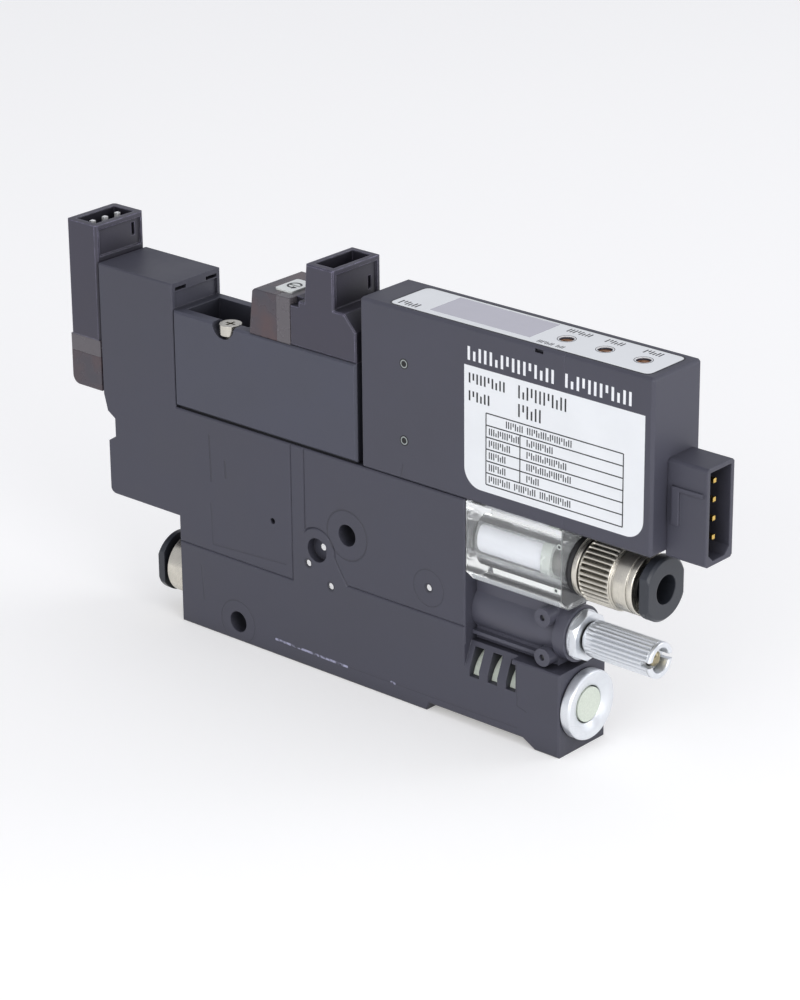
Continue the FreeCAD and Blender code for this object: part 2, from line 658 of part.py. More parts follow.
def release_parts(mouth, way, z, thickness):
    """Release ring, collet and tube seal of a push-in port whose mouth faces along way (+1 or -1)."""
    def at(depth):
        return mouth - way * depth

    face = at(-RELEASE_GAP)
    outer = at(-RELEASE_GAP - thickness)
    bevel = thickness / 4
    disc = turned_x(z, [(face, 0), (face, RELEASE_TALL_R), (outer - way * bevel, RELEASE_TALL_R),
                        (outer, RELEASE_TALL_R - bevel), (outer, 0)])
    disc = disc.common(block(sorted((face, outer)), (-RELEASE_SLIM_R, RELEASE_SLIM_R),
                             (z - RELEASE_TALL_R, z + RELEASE_TALL_R)))
    sleeve = rod_x(sorted((at(SLEEVE_LENGTH), face)), 0, z, SLEEVE_R)
    hole = rod_x(sorted((at(SLEEVE_LENGTH), outer)), 0, z, TUBE_R)
    ring = cut(fuse(disc, sleeve), hole)
    collet_start = SLEEVE_LENGTH + 1.0
    collet = turned_x(z, [
        (at(collet_start), SLEEVE_R), (at(collet_start), BARREL_BORE_R - FIT),
        (at(collet_start + COLLET_LENGTH / 2), BARREL_BORE_R - FIT),
        (at(collet_start + COLLET_LENGTH / 2), TUBE_R + COLLET_WALL),
        (at(collet_start), TUBE_R + COLLET_WALL / 2)])
    seal_start = BARREL_BORE_DEPTH - SEAL_LENGTH + 0.2
    seal = turned_x(z, [
        (at(seal_start), TUBE_R + FIT), (at(seal_start), BARREL_BORE_R - FIT),
        (at(BARREL_BORE_DEPTH), BARREL_BORE_R - FIT), (at(BARREL_BORE_DEPTH), TUBE_R + FIT)])
    return ring, collet, seal


def supply_fitting():
    """Nickel-plated push-in body of the supply port, pressed into the rear of the lower body."""
    mouth = X_BLOCK - SUPPLY_BARREL
    floor = mouth + BARREL_BORE_DEPTH
    end = X_BLOCK + SUPPLY_STEM
    return turned_x(EJECTOR_Z, [
        (mouth, BARREL_BORE_R), (mouth, BARREL_R - FITTING_EDGE), (mouth + FITTING_EDGE, BARREL_R),
        (X_BLOCK, BARREL_R), (X_BLOCK, STEM_R), (end, STEM_R), (end, STEM_HOLE_R),
        (floor, STEM_HOLE_R), (floor, BARREL_BORE_R)])


def vacuum_fitting_start():
    """Front face of the clear cover, where the vacuum fitting's O-ring starts."""
    return X_NOSE + COVER_PROUD


def vacuum_mouth():
    """Mouth of the vacuum fitting's barrel."""
    return (vacuum_fitting_start() + 2 * ORING_R + FLANGE_LENGTH + NECK_LENGTH + KNURL_LENGTH
            + VACUUM_SMOOTH)


def vacuum_fitting():
    """Nickel-plated vacuum port with a knurled grip, screwed into the clear cover."""
    seat = vacuum_fitting_start()
    flange = seat + 2 * ORING_R
    neck = flange + FLANGE_LENGTH
    knurl = neck + NECK_LENGTH
    smooth = knurl + KNURL_LENGTH
    mouth = vacuum_mouth()
    floor = mouth - BARREL_BORE_DEPTH
    core = turned_x(PORT_Z, [
        (seat - VACUUM_STEM, STEM_HOLE_R), (seat - VACUUM_STEM, STEM_R), (flange, STEM_R),
        (flange, FLANGE_R), (neck, FLANGE_R), (neck, NECK_R), (knurl, NECK_R),
        (smooth, NECK_R), (smooth, BARREL_R), (mouth - FITTING_EDGE, BARREL_R),
        (mouth, BARREL_R - FITTING_EDGE), (mouth, BARREL_BORE_R),
        (floor, BARREL_BORE_R), (floor, STEM_HOLE_R)])
    grip = star_x((knurl, smooth), PORT_Z, KNURL_R, KNURL_DEPTH, KNURL_COUNT)
    grip = cut(grip, rod_x((knurl, smooth), 0, PORT_Z, NECK_R - FIT))
    return fuse(core, grip)


def vacuum_oring():
    """O-ring between the clear cover and the vacuum fitting's flange, as wide as it is squeezed."""
    rear = vacuum_fitting_start()
    front = rear + 2 * ORING_R
    outer = STEM_R + 2 * ORING_R
    return turned_x(PORT_Z, [(rear, STEM_R), (rear, outer), (front, outer), (front, STEM_R)])


def filter_cover():
    """Clear filter housing with bevelled lower edges."""
    rear = X_SHOULDER + COVER_GAP
    front = vacuum_fitting_start()
    top = SPLIT_Z - COVER_GAP
    foot = SPLIT_Z - COVER_DROP
    half = HALF - COVER_GAP
    body = block((rear, front), (-half, half), (foot, top))
    lower = [e for e in edges_along(body, "x") if abs(e.BoundBox.ZMin - foot) < 1e-4]
    body = body.makeChamfer(COVER_BEVEL, lower)
    return cut(body,
               rod_x((rear + COVER_WALL, front), 0, PORT_Z, COVER_BORE_R),
               rod_x((rear, rear + COVER_WALL), 0, PORT_Z, COVER_HOLE_R))


def holder_start():
    """Rear face of the element holder's flange, where the filter element ends."""
    return vacuum_fitting_start() - VACUUM_STEM - HOLDER_LENGTH


def filter_element():
    """White tubular filter element."""
    rear = X_SHOULDER + COVER_GAP + COVER_WALL
    front = holder_start()
    return turned_x(PORT_Z, [(rear, ELEMENT_BORE_R), (rear, ELEMENT_R), (front, ELEMENT_R),
                             (front, ELEMENT_BORE_R)])


def element_holder():
    """Translucent holder that closes the element's front end and centres it in the cover."""
    start = holder_start()
    end = start + HOLDER_LENGTH
    return turned_x(PORT_Z, [
        (start - HOLDER_FLANGE, 0), (start - HOLDER_FLANGE, ELEMENT_BORE_R - FIT),
        (start, ELEMENT_BORE_R - FIT), (start, COVER_BORE_R - FIT), (end, COVER_BORE_R - FIT),
        (end, STEM_HOLE_R), (start, STEM_HOLE_R), (start, 0)])


def check_valve():
    """Rubber umbrella valve, held by its stem in the perforated seat."""
    seat = X_SHOULDER - CHECK_DEPTH + CHECK_PLATE
    tail = seat - CHECK_PLATE
    return turned_x(PORT_Z, [
        (tail, 0), (tail, CHECK_STEM_R), (seat, CHECK_STEM_R), (seat, CHECK_CAP_R),
        (seat + CHECK_CAP / 2, CHECK_CAP_R), (seat + CHECK_CAP, CHECK_STEM_R), (seat + CHECK_CAP, 0)])


def housing_front():
    """Front face of the needle housing."""
    return X_NOSE - HOUSING_SINK


def needle_housing():
    """Cylindrical needle housing on a web, with the two bosses of its retaining clip."""
    front = housing_front()
    clip_x = front - CLIP_BACK
    boss_back = BOSS_REACH - CLIP_R - CLIP_BEND
    cover_foot = SPLIT_Z - COVER_DROP
    body = fuse(
        rod_x((X_SHOULDER, front), 0, NEEDLE_Z, HOUSING_R),
        rod_x((front - COLLAR_LENGTH, front), 0, NEEDLE_Z, COLLAR_R),
        block((X_SHOULDER, front - COLLAR_LENGTH), (-WEB_HALF, WEB_HALF), (NOSE_Z, cover_foot)),
        block((X_SHOULDER, clip_x), (-LEDGE_HALF, LEDGE_HALF),
              (NEEDLE_Z - HOUSING_R, NEEDLE_Z - HOUSING_R + LEDGE)),
        rod_y(clip_x, (-BOSS_REACH, boss_back), NEEDLE_Z + CLIP_SPREAD, BOSS_R),
        rod_y(clip_x, (-BOSS_REACH, boss_back), NEEDLE_Z - CLIP_SPREAD, BOSS_R))
    return cut(body,
               rod_x((front - BUSH_LENGTH, front), 0, NEEDLE_Z, BUSH_R + FIT),
               rod_x((X_SHOULDER, front), 0, NEEDLE_Z, PASSAGE_R),
               rod_y(clip_x, (-HALF, HALF), NEEDLE_Z + CLIP_SPREAD, CLIP_R + FIT),
               rod_y(clip_x, (-HALF, HALF), NEEDLE_Z - CLIP_SPREAD, CLIP_R + FIT))


def needle_clip():
    """U-shaped spring wire, bent from one piece, whose legs lock the bush in its housing."""
    clip_x = housing_front() - CLIP_BACK
    near = -BOSS_REACH + CLIP_R
    back = BOSS_REACH - CLIP_R
    high = NEEDLE_Z + CLIP_SPREAD
    low = NEEDLE_Z - CLIP_SPREAD
    bend = CLIP_BEND
    inset = bend * (1 - math.sqrt(0.5))
    upper = Part.Arc(Vector(clip_x, back - bend, high), Vector(clip_x, back - inset, high - inset),
                     Vector(clip_x, back, high - bend)).toShape()
    lower = Part.Arc(Vector(clip_x, back, low + bend), Vector(clip_x, back - inset, low + inset),
                     Vector(clip_x, back - bend, low)).toShape()
    path = Part.Wire([
        Part.makeLine(Vector(clip_x, near, high), Vector(clip_x, back - bend, high)), upper,
        Part.makeLine(Vector(clip_x, back, high - bend), Vector(clip_x, back, low + bend)), lower,
        Part.makeLine(Vector(clip_x, back - bend, low), Vector(clip_x, near, low))])
    section = Part.Wire([Part.makeCircle(CLIP_R, Vector(clip_x, near, high), Vector(0, 1, 0))])
    return path.makePipeShell([section], True, False)


def needle_bush():
    """Brass bush with the needle's thread and seat, grooved for the clip."""
    front = housing_front()
    rear = front - BUSH_LENGTH
    clip_x = front - CLIP_BACK
    groove = CLIP_SPREAD - CLIP_R - FIT
    return turned_x(NEEDLE_Z, [
        (rear, BUSH_SEAT_R), (rear, BUSH_R), (clip_x - CLIP_R - FIT, BUSH_R),
        (clip_x - CLIP_R - FIT, groove), (clip_x + CLIP_R + FIT, groove), (clip_x + CLIP_R + FIT, BUSH_R),
        (front, BUSH_R), (front, BUSH_THREAD_R + RUN), (rear + BUSH_SEAT, BUSH_THREAD_R + RUN),
        (rear + BUSH_SEAT, BUSH_SEAT_R)])


def lock_nut():
    """Hexagon lock nut with a washer face, on the needle's thread."""
    start = housing_front() + NUT_GAP
    washer_end = start + NUT_WASHER
    end = washer_end + NUT_LENGTH
    corner_r = NUT_FLATS / 2 / math.cos(math.pi / 6)
    points = []
    for side in range(6):
        angle = math.radians(60 * side + 30)
        points.append(Vector(washer_end, corner_r * math.cos(angle), NEEDLE_Z + corner_r * math.sin(angle)))
    hexagon = Part.Face(Part.makePolygon(points + [points[0]])).extrude(Vector(NUT_LENGTH, 0, 0))
    bevel = corner_r - NUT_FLATS / 2
    crown = turned_x(NEEDLE_Z, [(washer_end, 0), (washer_end, corner_r), (end - bevel, corner_r),
                                (end, NUT_FLATS / 2), (end, 0)])
    washer = rod_x((start, washer_end), 0, NEEDLE_Z, NUT_WASHER_R)
    hole = rod_x((start, end), 0, NEEDLE_Z, BUSH_THREAD_R + RUN)
    return cut(fuse(hexagon.common(crown), washer), hole)


def knob_start():
    """Rear face of the knob."""
    return housing_front() + NUT_GAP + NUT_WASHER + NUT_LENGTH + KNOB_GAP


def needle():
    """Steel needle: tapered tip, threaded shank and a domed head that shows inside the knob."""
    tip = housing_front() - BUSH_LENGTH + BUSH_SEAT - NEEDLE_TIP / 2
    shank = tip + NEEDLE_TIP
    floor = knob_start() + KNOB_LENGTH - KNOB_MOUTH
    head = floor + KNOB_MOUTH - 2 * KNOB_CHAMFER
    return turned_x(NEEDLE_Z, [
        (tip, 0), (shank - NEEDLE_TIP / 2, BUSH_SEAT_R - RUN), (shank, BUSH_THREAD_R),
        (knob_start() + KNOB_NECK, BUSH_THREAD_R), (knob_start() + KNOB_NECK, NEEDLE_HEAD_R),
        (head - KNOB_CHAMFER, NEEDLE_HEAD_R), (head, NEEDLE_HEAD_R / 2), (head, 0)])


def needle_knob():
    """Aluminium knob with a straight knurl, a smooth open end and a cross slot in its rim."""
    start = knob_start()
    end = start + KNOB_LENGTH
    rim = end - KNOB_RIM
    floor = end - KNOB_MOUTH
    body = fuse(star_x((start + KNOB_NECK, rim), NEEDLE_Z, KNOB_R, KNOB_DEPTH, KNOB_RIDGES),
                turned_x(NEEDLE_Z, [
                    (start, 0), (start, KNOB_NECK_R), (rim, KNOB_NECK_R), (rim, KNOB_R - KNOB_DEPTH),
                    (end - KNOB_CHAMFER, KNOB_R - KNOB_DEPTH), (end, KNOB_R - KNOB_DEPTH - KNOB_CHAMFER),
                    (end, 0)]))
    return cut(body,
               rod_x((start, start + KNOB_NECK), 0, NEEDLE_Z, BUSH_THREAD_R + FIT),
               rod_x((start, floor), 0, NEEDLE_Z, NEEDLE_HEAD_R + FIT),
               rod_x((floor, end), 0, NEEDLE_Z, KNOB_MOUTH_R),
               block((floor, end), (-KNOB_R, KNOB_R), (NEEDLE_Z - KNOB_SLOT / 2, NEEDLE_Z + KNOB_SLOT / 2)))


def supply_spool():
    """Supply valve spool with four lands, resting on the end plug."""
    spool_x = X_COLUMN + COLUMN_LENGTH / 2
    foot = COLUMN_FOOT_Z + END_PLUG
    land_r = SPOOL_BORE_R - RUN
    pitch = (SPOOL_LENGTH - SPOOL_LAND) / (SPOOL_LANDS - 1)
    profile = [(0, foot)]
    for number in range(SPOOL_LANDS):
        low = foot + number * pitch
        high = low + SPOOL_LAND
        if number:
            profile.append((SPOOL_WAIST_R, low))
        profile.extend([(land_r, low), (land_r, high)])
        if number < SPOOL_LANDS - 1:
            profile.append((SPOOL_WAIST_R, high))
    profile.append((0, foot + SPOOL_LENGTH))
    return turned_z(spool_x, 0, profile)


def end_plug():
    """Plug with a hexagon socket that closes the spool bore from below."""
    spool_x = X_COLUMN + COLUMN_LENGTH / 2
    plug = rod_z(spool_x, 0, (COLUMN_FOOT_Z, COLUMN_FOOT_Z + END_PLUG), SPOOL_BORE_R - FIT)
    corners = [Vector(spool_x + END_PLUG_HEX_R * math.cos(math.pi * side / 3),
                      END_PLUG_HEX_R * math.sin(math.pi * side / 3), COLUMN_FOOT_Z) for side in range(6)]
    socket = Part.Face(Part.makePolygon(corners + [corners[0]])).extrude(Vector(0, 0, END_PLUG / 2))
    return cut(plug, socket)


def release_block():
    """Release valve block with a top pocket and two screw wells that break its sides."""
    foot = SPLIT_Z + GASKET
    body = bevelled_block((X_BLOCK, X_BLOCK_END), (-HALF, HALF), (foot, BLOCK_TOP_Z), CASE_EDGE, "xz")
    seat = BLOCK_TOP_Z - SCREW_SINK - SCREW_HEAD
    pocket_x = X_BLOCK + POCKET_REAR
    tools = [block((pocket_x, pocket_x + POCKET_LENGTH), (-POCKET_HALF, POCKET_HALF),
                   (BLOCK_TOP_Z - POCKET_DEPTH, BLOCK_TOP_Z))]
    for side in (-1, 1):
        tools.append(rod_z(BLOCK_SCREW_X, side * BLOCK_SCREW_OUT, (seat, BLOCK_TOP_Z), SCREW_WELL_R))
        notch = sorted((side * BLOCK_SCREW_OUT, side * HALF))
        tools.append(rod_y(BLOCK_SCREW_X, notch, BLOCK_TOP_Z, SCREW_NOTCH_R))
        tools.append(rod_z(BLOCK_SCREW_X, side * BLOCK_SCREW_OUT, (foot, seat), SCREW_SHANK_R + FIT))
    return cut(body, *tools)


def block_screws():
    """Two cross-recessed screws that hold the release block."""
    seat = BLOCK_TOP_Z - SCREW_SINK - SCREW_HEAD
    top = seat + SCREW_HEAD
    length, width, depth = SCREW_CROSS
    screws = []
    for side in (-1, 1):
        y = side * BLOCK_SCREW_OUT
        screw = turned_z(BLOCK_SCREW_X, y, [
            (0, SPLIT_Z - SCREW_GRIP), (SCREW_SHANK_R, SPLIT_Z - SCREW_GRIP), (SCREW_SHANK_R, seat),
            (SCREW_HEAD_R, seat), (SCREW_HEAD_R, top), (0, top)])
        for long, wide in ((length, width), (width, length)):
            screw = cut(screw, block((BLOCK_SCREW_X - long / 2, BLOCK_SCREW_X + long / 2),
                                     (y - wide / 2, y + wide / 2), (top - depth, top)))
        screws.append(screw)
    return Part.makeCompound(screws)


def block_gasket():
    """Rubber sheet under the release block, with holes for its screws."""
    inset = EDGE + CASE_EDGE
    sheet = block((X_BLOCK + inset, X_BLOCK_END - inset), (-HALF + inset, HALF - inset),
                  (SPLIT_Z, SPLIT_Z + GASKET))
    holes = [rod_z(BLOCK_SCREW_X, side * BLOCK_SCREW_OUT, (SPLIT_Z, SPLIT_Z + GASKET), SCREW_SHANK_R + FIT)
             for side in (-1, 1)]
    return cut(sheet, *holes)


def release_case():
    """Release solenoid's case with its connector tower."""
    front = X_BLOCK_END
    tower_front = front - TOWER_FRONT
    tower_rear = tower_front - TOWER_LENGTH
    rear = front - RELEASE_LENGTH + LAMP_LENGTH + BAND_LENGTH
    roof = BLOCK_TOP_Z + RELEASE_HEIGHT
    top = BLOCK_TOP_Z + TOWER_HEIGHT
    body = plate(face_xz([
        (rear, BLOCK_TOP_Z), (front, BLOCK_TOP_Z), (front, roof - CORNER_DROP),
        (front - TOWER_FRONT + SHELF_LENGTH, roof), (tower_front, roof), (tower_front, top),
        (tower_rear + TOWER_LEAN, top), (tower_rear, roof), (rear, roof)]), (-SOLENOID_HALF, SOLENOID_HALF))
    body = body.makeChamfer(EDGE, side_edges(body, -SOLENOID_HALF) + side_edges(body, SOLENOID_HALF))
    middle = (tower_front + tower_rear + TOWER_LEAN) / 2
    socket_half = TOWER_LENGTH / 2 - SOCKET_WALL
    slot_y = SOCKET_HALF - 2 * LATCH_SLOT[0]
    tools = [
        block((middle - socket_half, middle + socket_half), (-SOCKET_HALF, SOCKET_HALF),
              (top - SOCKET_DEPTH, top)),
        block((tower_front - PANEL_DEPTH, tower_front),
              (-SOLENOID_HALF + PANEL_MARGIN, SOLENOID_HALF - PANEL_MARGIN), (roof, top - PANEL_MARGIN)),
        block((tower_front - SOCKET_WALL, tower_front), (slot_y, slot_y + LATCH_SLOT[0]),
              (top - PANEL_MARGIN - 2 * LATCH_SLOT[1], top - PANEL_MARGIN - LATCH_SLOT[1])),
        block((rear, rear + EDGE_NOTCH[0]), (-SOLENOID_HALF, -SOLENOID_HALF + EDGE_NOTCH[1]),
              (roof - EDGE_NOTCH[2], roof)),
        coil_space(release_axis(), rear),
    ]
    return cut(body, *tools)


def release_axis():
    """Height of the release solenoid's plunger."""
    return BLOCK_TOP_Z + RELEASE_HEIGHT / 2


def coil_space(axis_z, rear):
    """Room for the release coil and its plunger, open towards the clear band."""
    half = COIL_HALF + FIT
    return block((rear, rear + COIL_LENGTH + PLUNGER_TRAVEL), (-half, half), (axis_z - half, axis_z + half))


def release_lamp():
    """Smoky lamp cover at the rear of the release solenoid."""
    rear = X_BLOCK_END - RELEASE_LENGTH
    end = rear + LAMP_LENGTH
    roof = BLOCK_TOP_Z + RELEASE_HEIGHT
    cover = plate(face_xz([(rear, BLOCK_TOP_Z), (end, BLOCK_TOP_Z), (end, roof),
                           (rear + RELEASE_LEAN + CASE_EDGE, roof), (rear + RELEASE_LEAN, roof - CASE_EDGE)]),
                  (-SOLENOID_HALF, SOLENOID_HALF))
    return cut(cover, override_well_z())


def release_band():
    """Clear band between the lamp cover and the case."""
    start = X_BLOCK_END - RELEASE_LENGTH + LAMP_LENGTH
    band = block((start, start + BAND_LENGTH), (-SOLENOID_HALF, SOLENOID_HALF),
                 (BLOCK_TOP_Z, BLOCK_TOP_Z + RELEASE_HEIGHT))
    return cut(band, override_well_z())


def override_x():
    """Place of the release override along X."""
    return X_BLOCK_END - RELEASE_LENGTH + OVERRIDE_AHEAD


def override_well_z():
    """Tool for the release override's well."""
    roof = BLOCK_TOP_Z + RELEASE_HEIGHT
    depth = OVERRIDE_LENGTH - OVERRIDE_PROUD + OVERRIDE_TRAVEL
    return button_block((roof - depth, roof), RUN)


def button_block(z, grow):
    """Rounded block of the release override, made larger all round."""
    half_x = BUTTON[0] / 2 + grow
    half_y = BUTTON[1] / 2 + grow
    return soft_block((override_x() - half_x, override_x() + half_x), (BUTTON_Y - half_y, BUTTON_Y + half_y),
                      z, BUTTON_ROUND + grow, "z")


def release_override():
    """White slotted push button that works the release valve by hand."""
    top = BLOCK_TOP_Z + RELEASE_HEIGHT + OVERRIDE_PROUD
    length, width, depth = OVERRIDE_SLOT
    return cut(button_block((top - OVERRIDE_LENGTH, top), 0),
               block((override_x() - length / 2, override_x() + length / 2),
                     (BUTTON_Y - width / 2, BUTTON_Y + width / 2), (top - depth, top)))


def contact_row(x, z):
    """Three square contact pins in a row across the unit."""
    return Part.makeCompound([
        block((x - CONTACT_HALF, x + CONTACT_HALF),
              (number * PIN_PITCH - CONTACT_HALF, number * PIN_PITCH + CONTACT_HALF), z)
        for number in (-1, 0, 1)])


def release_contacts():
    """Three contact pins deep in the connector tower."""
    tower_front = X_BLOCK_END - TOWER_FRONT
    middle = tower_front - (TOWER_LENGTH - TOWER_LEAN) / 2
    floor = BLOCK_TOP_Z + TOWER_HEIGHT - SOCKET_DEPTH
    tip = BLOCK_TOP_Z + TOWER_HEIGHT - RELEASE_PIN_SINK
    return contact_row(middle, (floor, tip))


def release_coil():
    """Copper winding of the release solenoid."""
    rear = X_BLOCK_END - RELEASE_LENGTH + LAMP_LENGTH + BAND_LENGTH
    winding = block((rear, rear + COIL_LENGTH), (-COIL_HALF, COIL_HALF),
                    (release_axis() - COIL_HALF, release_axis() + COIL_HALF))
    return cut(winding, rod_x((rear, rear + COIL_LENGTH), 0, release_axis(), PLUNGER_R + RUN))


def release_plunger():
    """Steel plunger that slides in the release coil."""
    rear = X_BLOCK_END - RELEASE_LENGTH + LAMP_LENGTH + BAND_LENGTH
    return rod_x((rear, rear + PLUNGER_LENGTH), 0, release_axis(), PLUNGER_R)


def supply_levels():
    """Heights of the rear solenoid's foot, lamp cover end, band end and top."""
    foot = SPLIT_Z - SUPPLY_FOOT
    return foot, foot + LAMP_LENGTH, foot + LAMP_LENGTH + BAND_LENGTH, COLUMN_TOP_Z + SUPPLY_TOP


def supply_case():
    """Rear solenoid's case with its connector opening on top."""
    foot, lamp_end, low, top = supply_levels()
    front = X_REAR + SOLENOID_DEPTH
    body = bevelled_block((X_REAR, front), (-SOLENOID_HALF, SOLENOID_HALF), (low, top), CASE_EDGE, "z")
    middle = X_REAR + SOLENOID_DEPTH / 2
    slot_y = SOCKET_HALF - 2 * LATCH_SLOT[0]
    half = COIL_HALF + FIT
    tools = [
        block((X_REAR + SOCKET_WALL, front - SOCKET_WALL), (-SOCKET_HALF, SOCKET_HALF),
              (top - SOCKET_DEPTH, top)),
        block((front - PANEL_DEPTH, front), (-SOLENOID_HALF + PANEL_MARGIN, SOLENOID_HALF - PANEL_MARGIN),
              (COLUMN_TOP_Z + PANEL_MARGIN, top - PANEL_MARGIN)),
        block((front - SOCKET_WALL, front), (slot_y, slot_y + LATCH_SLOT[0]),
              (top - PANEL_MARGIN - LATCH_SLOT[0] - LATCH_SLOT[1], top - PANEL_MARGIN - LATCH_SLOT[0])),
        block((middle - half, middle + half), (-half, half), (low, low + COIL_LENGTH + PLUNGER_TRAVEL)),
    ]
    return cut(body, *tools)


def supply_lamp():
    """Smoky lamp cover at the foot of the rear solenoid, with its lower rear corner rounded."""
    foot, end, low, top = supply_levels()
    front = X_REAR + SOLENOID_DEPTH
    corner = (X_REAR + SUPPLY_ROUND, foot + SUPPLY_ROUND)
    cover = plate(face_xz([(front, foot), (front, end), (X_REAR, end), (X_REAR, corner[1]),
                           polar(corner, SUPPLY_ROUND, 225) + (corner[0], foot)]),
                  (-SOLENOID_HALF, SOLENOID_HALF))
    return cut(cover, override_well_x())


def supply_band():
    """Clear band of the rear solenoid."""
    foot, start, end, top = supply_levels()
    band = block((X_REAR, X_REAR + SOLENOID_DEPTH), (-SOLENOID_HALF, SOLENOID_HALF), (start, end))
    return cut(band, override_well_x())


def override_z():
    """Height of the supply override."""
    return supply_levels()[0] + OVERRIDE_AHEAD


def override_well_x():
    """Tool for the supply override's well."""
    depth = OVERRIDE_LENGTH - OVERRIDE_PROUD + OVERRIDE_TRAVEL
    return rod_x((X_REAR, X_REAR + depth), 0, override_z(), OVERRIDE_R + RUN)


def supply_override():
    """White slotted push button on the rear face, level with it so that it adds no length."""
    length, width, depth = OVERRIDE_SLOT
    button = rod_x((X_REAR, X_REAR + OVERRIDE_LENGTH - OVERRIDE_PROUD), 0, override_z(), OVERRIDE_R)
    return cut(button, block((X_REAR, X_REAR + depth), (-length / 2, length / 2),
                             (override_z() - width / 2, override_z() + width / 2)))


def supply_contacts():
    """Three contact pins in the rear solenoid's opening."""
    top = supply_levels()[3]
    return contact_row(X_REAR + SOLENOID_DEPTH / 2, (top - SOCKET_DEPTH, top - SUPPLY_PIN_SINK))


def supply_coil():
    """Copper winding of the rear solenoid."""
    low = supply_levels()[2]
    middle = X_REAR + SOLENOID_DEPTH / 2
    winding = block((middle - COIL_HALF, middle + COIL_HALF), (-COIL_HALF, COIL_HALF),
                    (low, low + COIL_LENGTH))
    return cut(winding, rod_z(middle, 0, (low, low + COIL_LENGTH), PLUNGER_R + RUN))


def supply_plunger():
    """Steel plunger that slides in the rear coil."""
    low = supply_levels()[2]
    return rod_z(X_REAR + SOLENOID_DEPTH / 2, 0, (low, low + PLUNGER_LENGTH), PLUNGER_R)


def supply_gasket():
    """Rubber sheet between the rear solenoid and the column."""
    inset = EDGE + CASE_EDGE
    return block((X_REAR + SOLENOID_DEPTH, X_COLUMN), (-SOLENOID_HALF + inset, SOLENOID_HALF - inset),
                 (SPLIT_Z + inset, COLUMN_TOP_Z - inset))


def case_shell(x, open_low):
    """Thin-walled length of the sensor case, open at one end."""
    wall = SENSOR_WALL
    outer = block(x, (-HALF, HALF), (SPLIT_Z, SENSOR_TOP_Z))
    closed = x[1] if open_low else x[0]
    edges = edges_along(outer, "x")
    edges += [e for axis in "yz" for e in edges_along(outer, axis) if abs(e.BoundBox.XMin - closed) < 1e-4]
    outer = outer.makeChamfer(CASE_EDGE, edges)
    inner_x = (x[0], x[1] - wall) if open_low else (x[0] + wall, x[1])
    return cut(outer, block(inner_x, (-HALF + wall, HALF - wall), (SPLIT_Z + wall, SENSOR_TOP_Z - wall)))


def film(x, y, thickness, radius, z_top):
    """Rounded horizontal film whose top is at z_top."""
    return soft_block(x, y, (z_top - thickness, z_top), radius, "z")


def top_label_blank():
    """Outline of the top label as a solid, used for the film and for its recess."""
    return film((X_SENSOR + LABEL_REAR, X_PLUG - LABEL_FRONT), TOP_LABEL_Y, LABEL, LABEL_ROUND,
                SENSOR_TOP_Z)


def side_label():
    """White film on the near side, with rounded lower corners."""
    front = X_PLUG - LABEL_FRONT
    z0, z1 = [SPLIT_Z + z for z in SIDE_LABEL_Z]
    body = block((front - SIDE_LABEL_LENGTH, front), (-HALF, -HALF + LABEL), (z0, z1))
    low = [e for e in edges_along(body, "y") if abs(e.BoundBox.ZMin - z0) < 1e-4]
    return body.makeFillet(SIDE_LABEL_ROUND, low)


def window_opening(grow):
    """Display window's outline through the case's top, grown by a clearance."""
    return block([WINDOW_X[0] - grow, WINDOW_X[1] + grow],
                 [WINDOW_Y[0] - grow, WINDOW_Y[1] + grow],
                 [SENSOR_TOP_Z - WINDOW_THICK, SENSOR_TOP_Z])


def trimmer_holes(radius):
    """Holes of the three setting trimmers through the case's top."""
    return [rod_z(x, TRIMMER_Y, (SENSOR_TOP_Z - SENSOR_WALL, SENSOR_TOP_Z), radius)
            for x in TRIMMER_X]


def sensor_case():
    """Rear part of the sensor case."""
    shell = case_shell((X_SENSOR, X_CAP), False)
    snap_x = (X_SNAP - SNAP[0] / 2, X_SNAP + SNAP[0] / 2)
    snap_top = SENSOR_TOP_Z - CASE_EDGE
    tools = [top_label_blank(), side_label(), window_opening(FIT),
             block([WINDOW_X[0] + WINDOW_EDGE, WINDOW_X[1] - WINDOW_EDGE],
                   [WINDOW_Y[0] + WINDOW_EDGE, WINDOW_Y[1] - WINDOW_EDGE],
                   [SENSOR_TOP_Z - SENSOR_WALL, SENSOR_TOP_Z]),
             block(snap_x, (-HALF, -HALF + SNAP[2]), (snap_top - SNAP[1], snap_top)),
             rod_z(SENSE_X, 0, (SPLIT_Z, SPLIT_Z + SENSOR_WALL), SENSE_R)]
    tools += trimmer_holes(TRIMMER_R + RUN)
    return cut(shell, *tools)


def sensor_cap():
    """Front cap of the sensor case, with a spigot that enters the rear part."""
    seam = X_CAP
    shell = case_shell((seam, X_PLUG), True)
    wall = SENSOR_WALL
    inner = HALF - wall
    reach = inner - FIT
    low = SPLIT_Z + wall
    high = SENSOR_TOP_Z - wall
    spigot = fuse(block((seam - SPIGOT, seam + wall), (-reach, reach), (low + FIT, high - FIT)),
                  block((seam, seam + wall), (-inner, inner), (low, high)))
    hollow = inner - SPIGOT_WALL
    spigot = cut(spigot, block((seam - SPIGOT, seam + wall), (-hollow, hollow),
                               (low + SPIGOT_WALL, high - SPIGOT_WALL)))
    board_room = block((seam - SPIGOT, seam + wall), (-inner, inner),
                       (SENSOR_TOP_Z - BOARD_DROP - BOARD - FIT, SENSOR_TOP_Z - BOARD_DROP + FIT))
    tools = [top_label_blank(), side_label(), board_room] + trimmer_holes(TRIMMER_R + RUN)
    tools += [plug_pin(number, FIT) for number in range(PLUG_PINS)]
    return cut(fuse(shell, spigot), *tools)


def top_label():
    """White film on top, with openings for the display window and the trimmers."""
    return cut(top_label_blank(), window_opening(FIT), *trimmer_holes(TRIMMER_R + RUN))


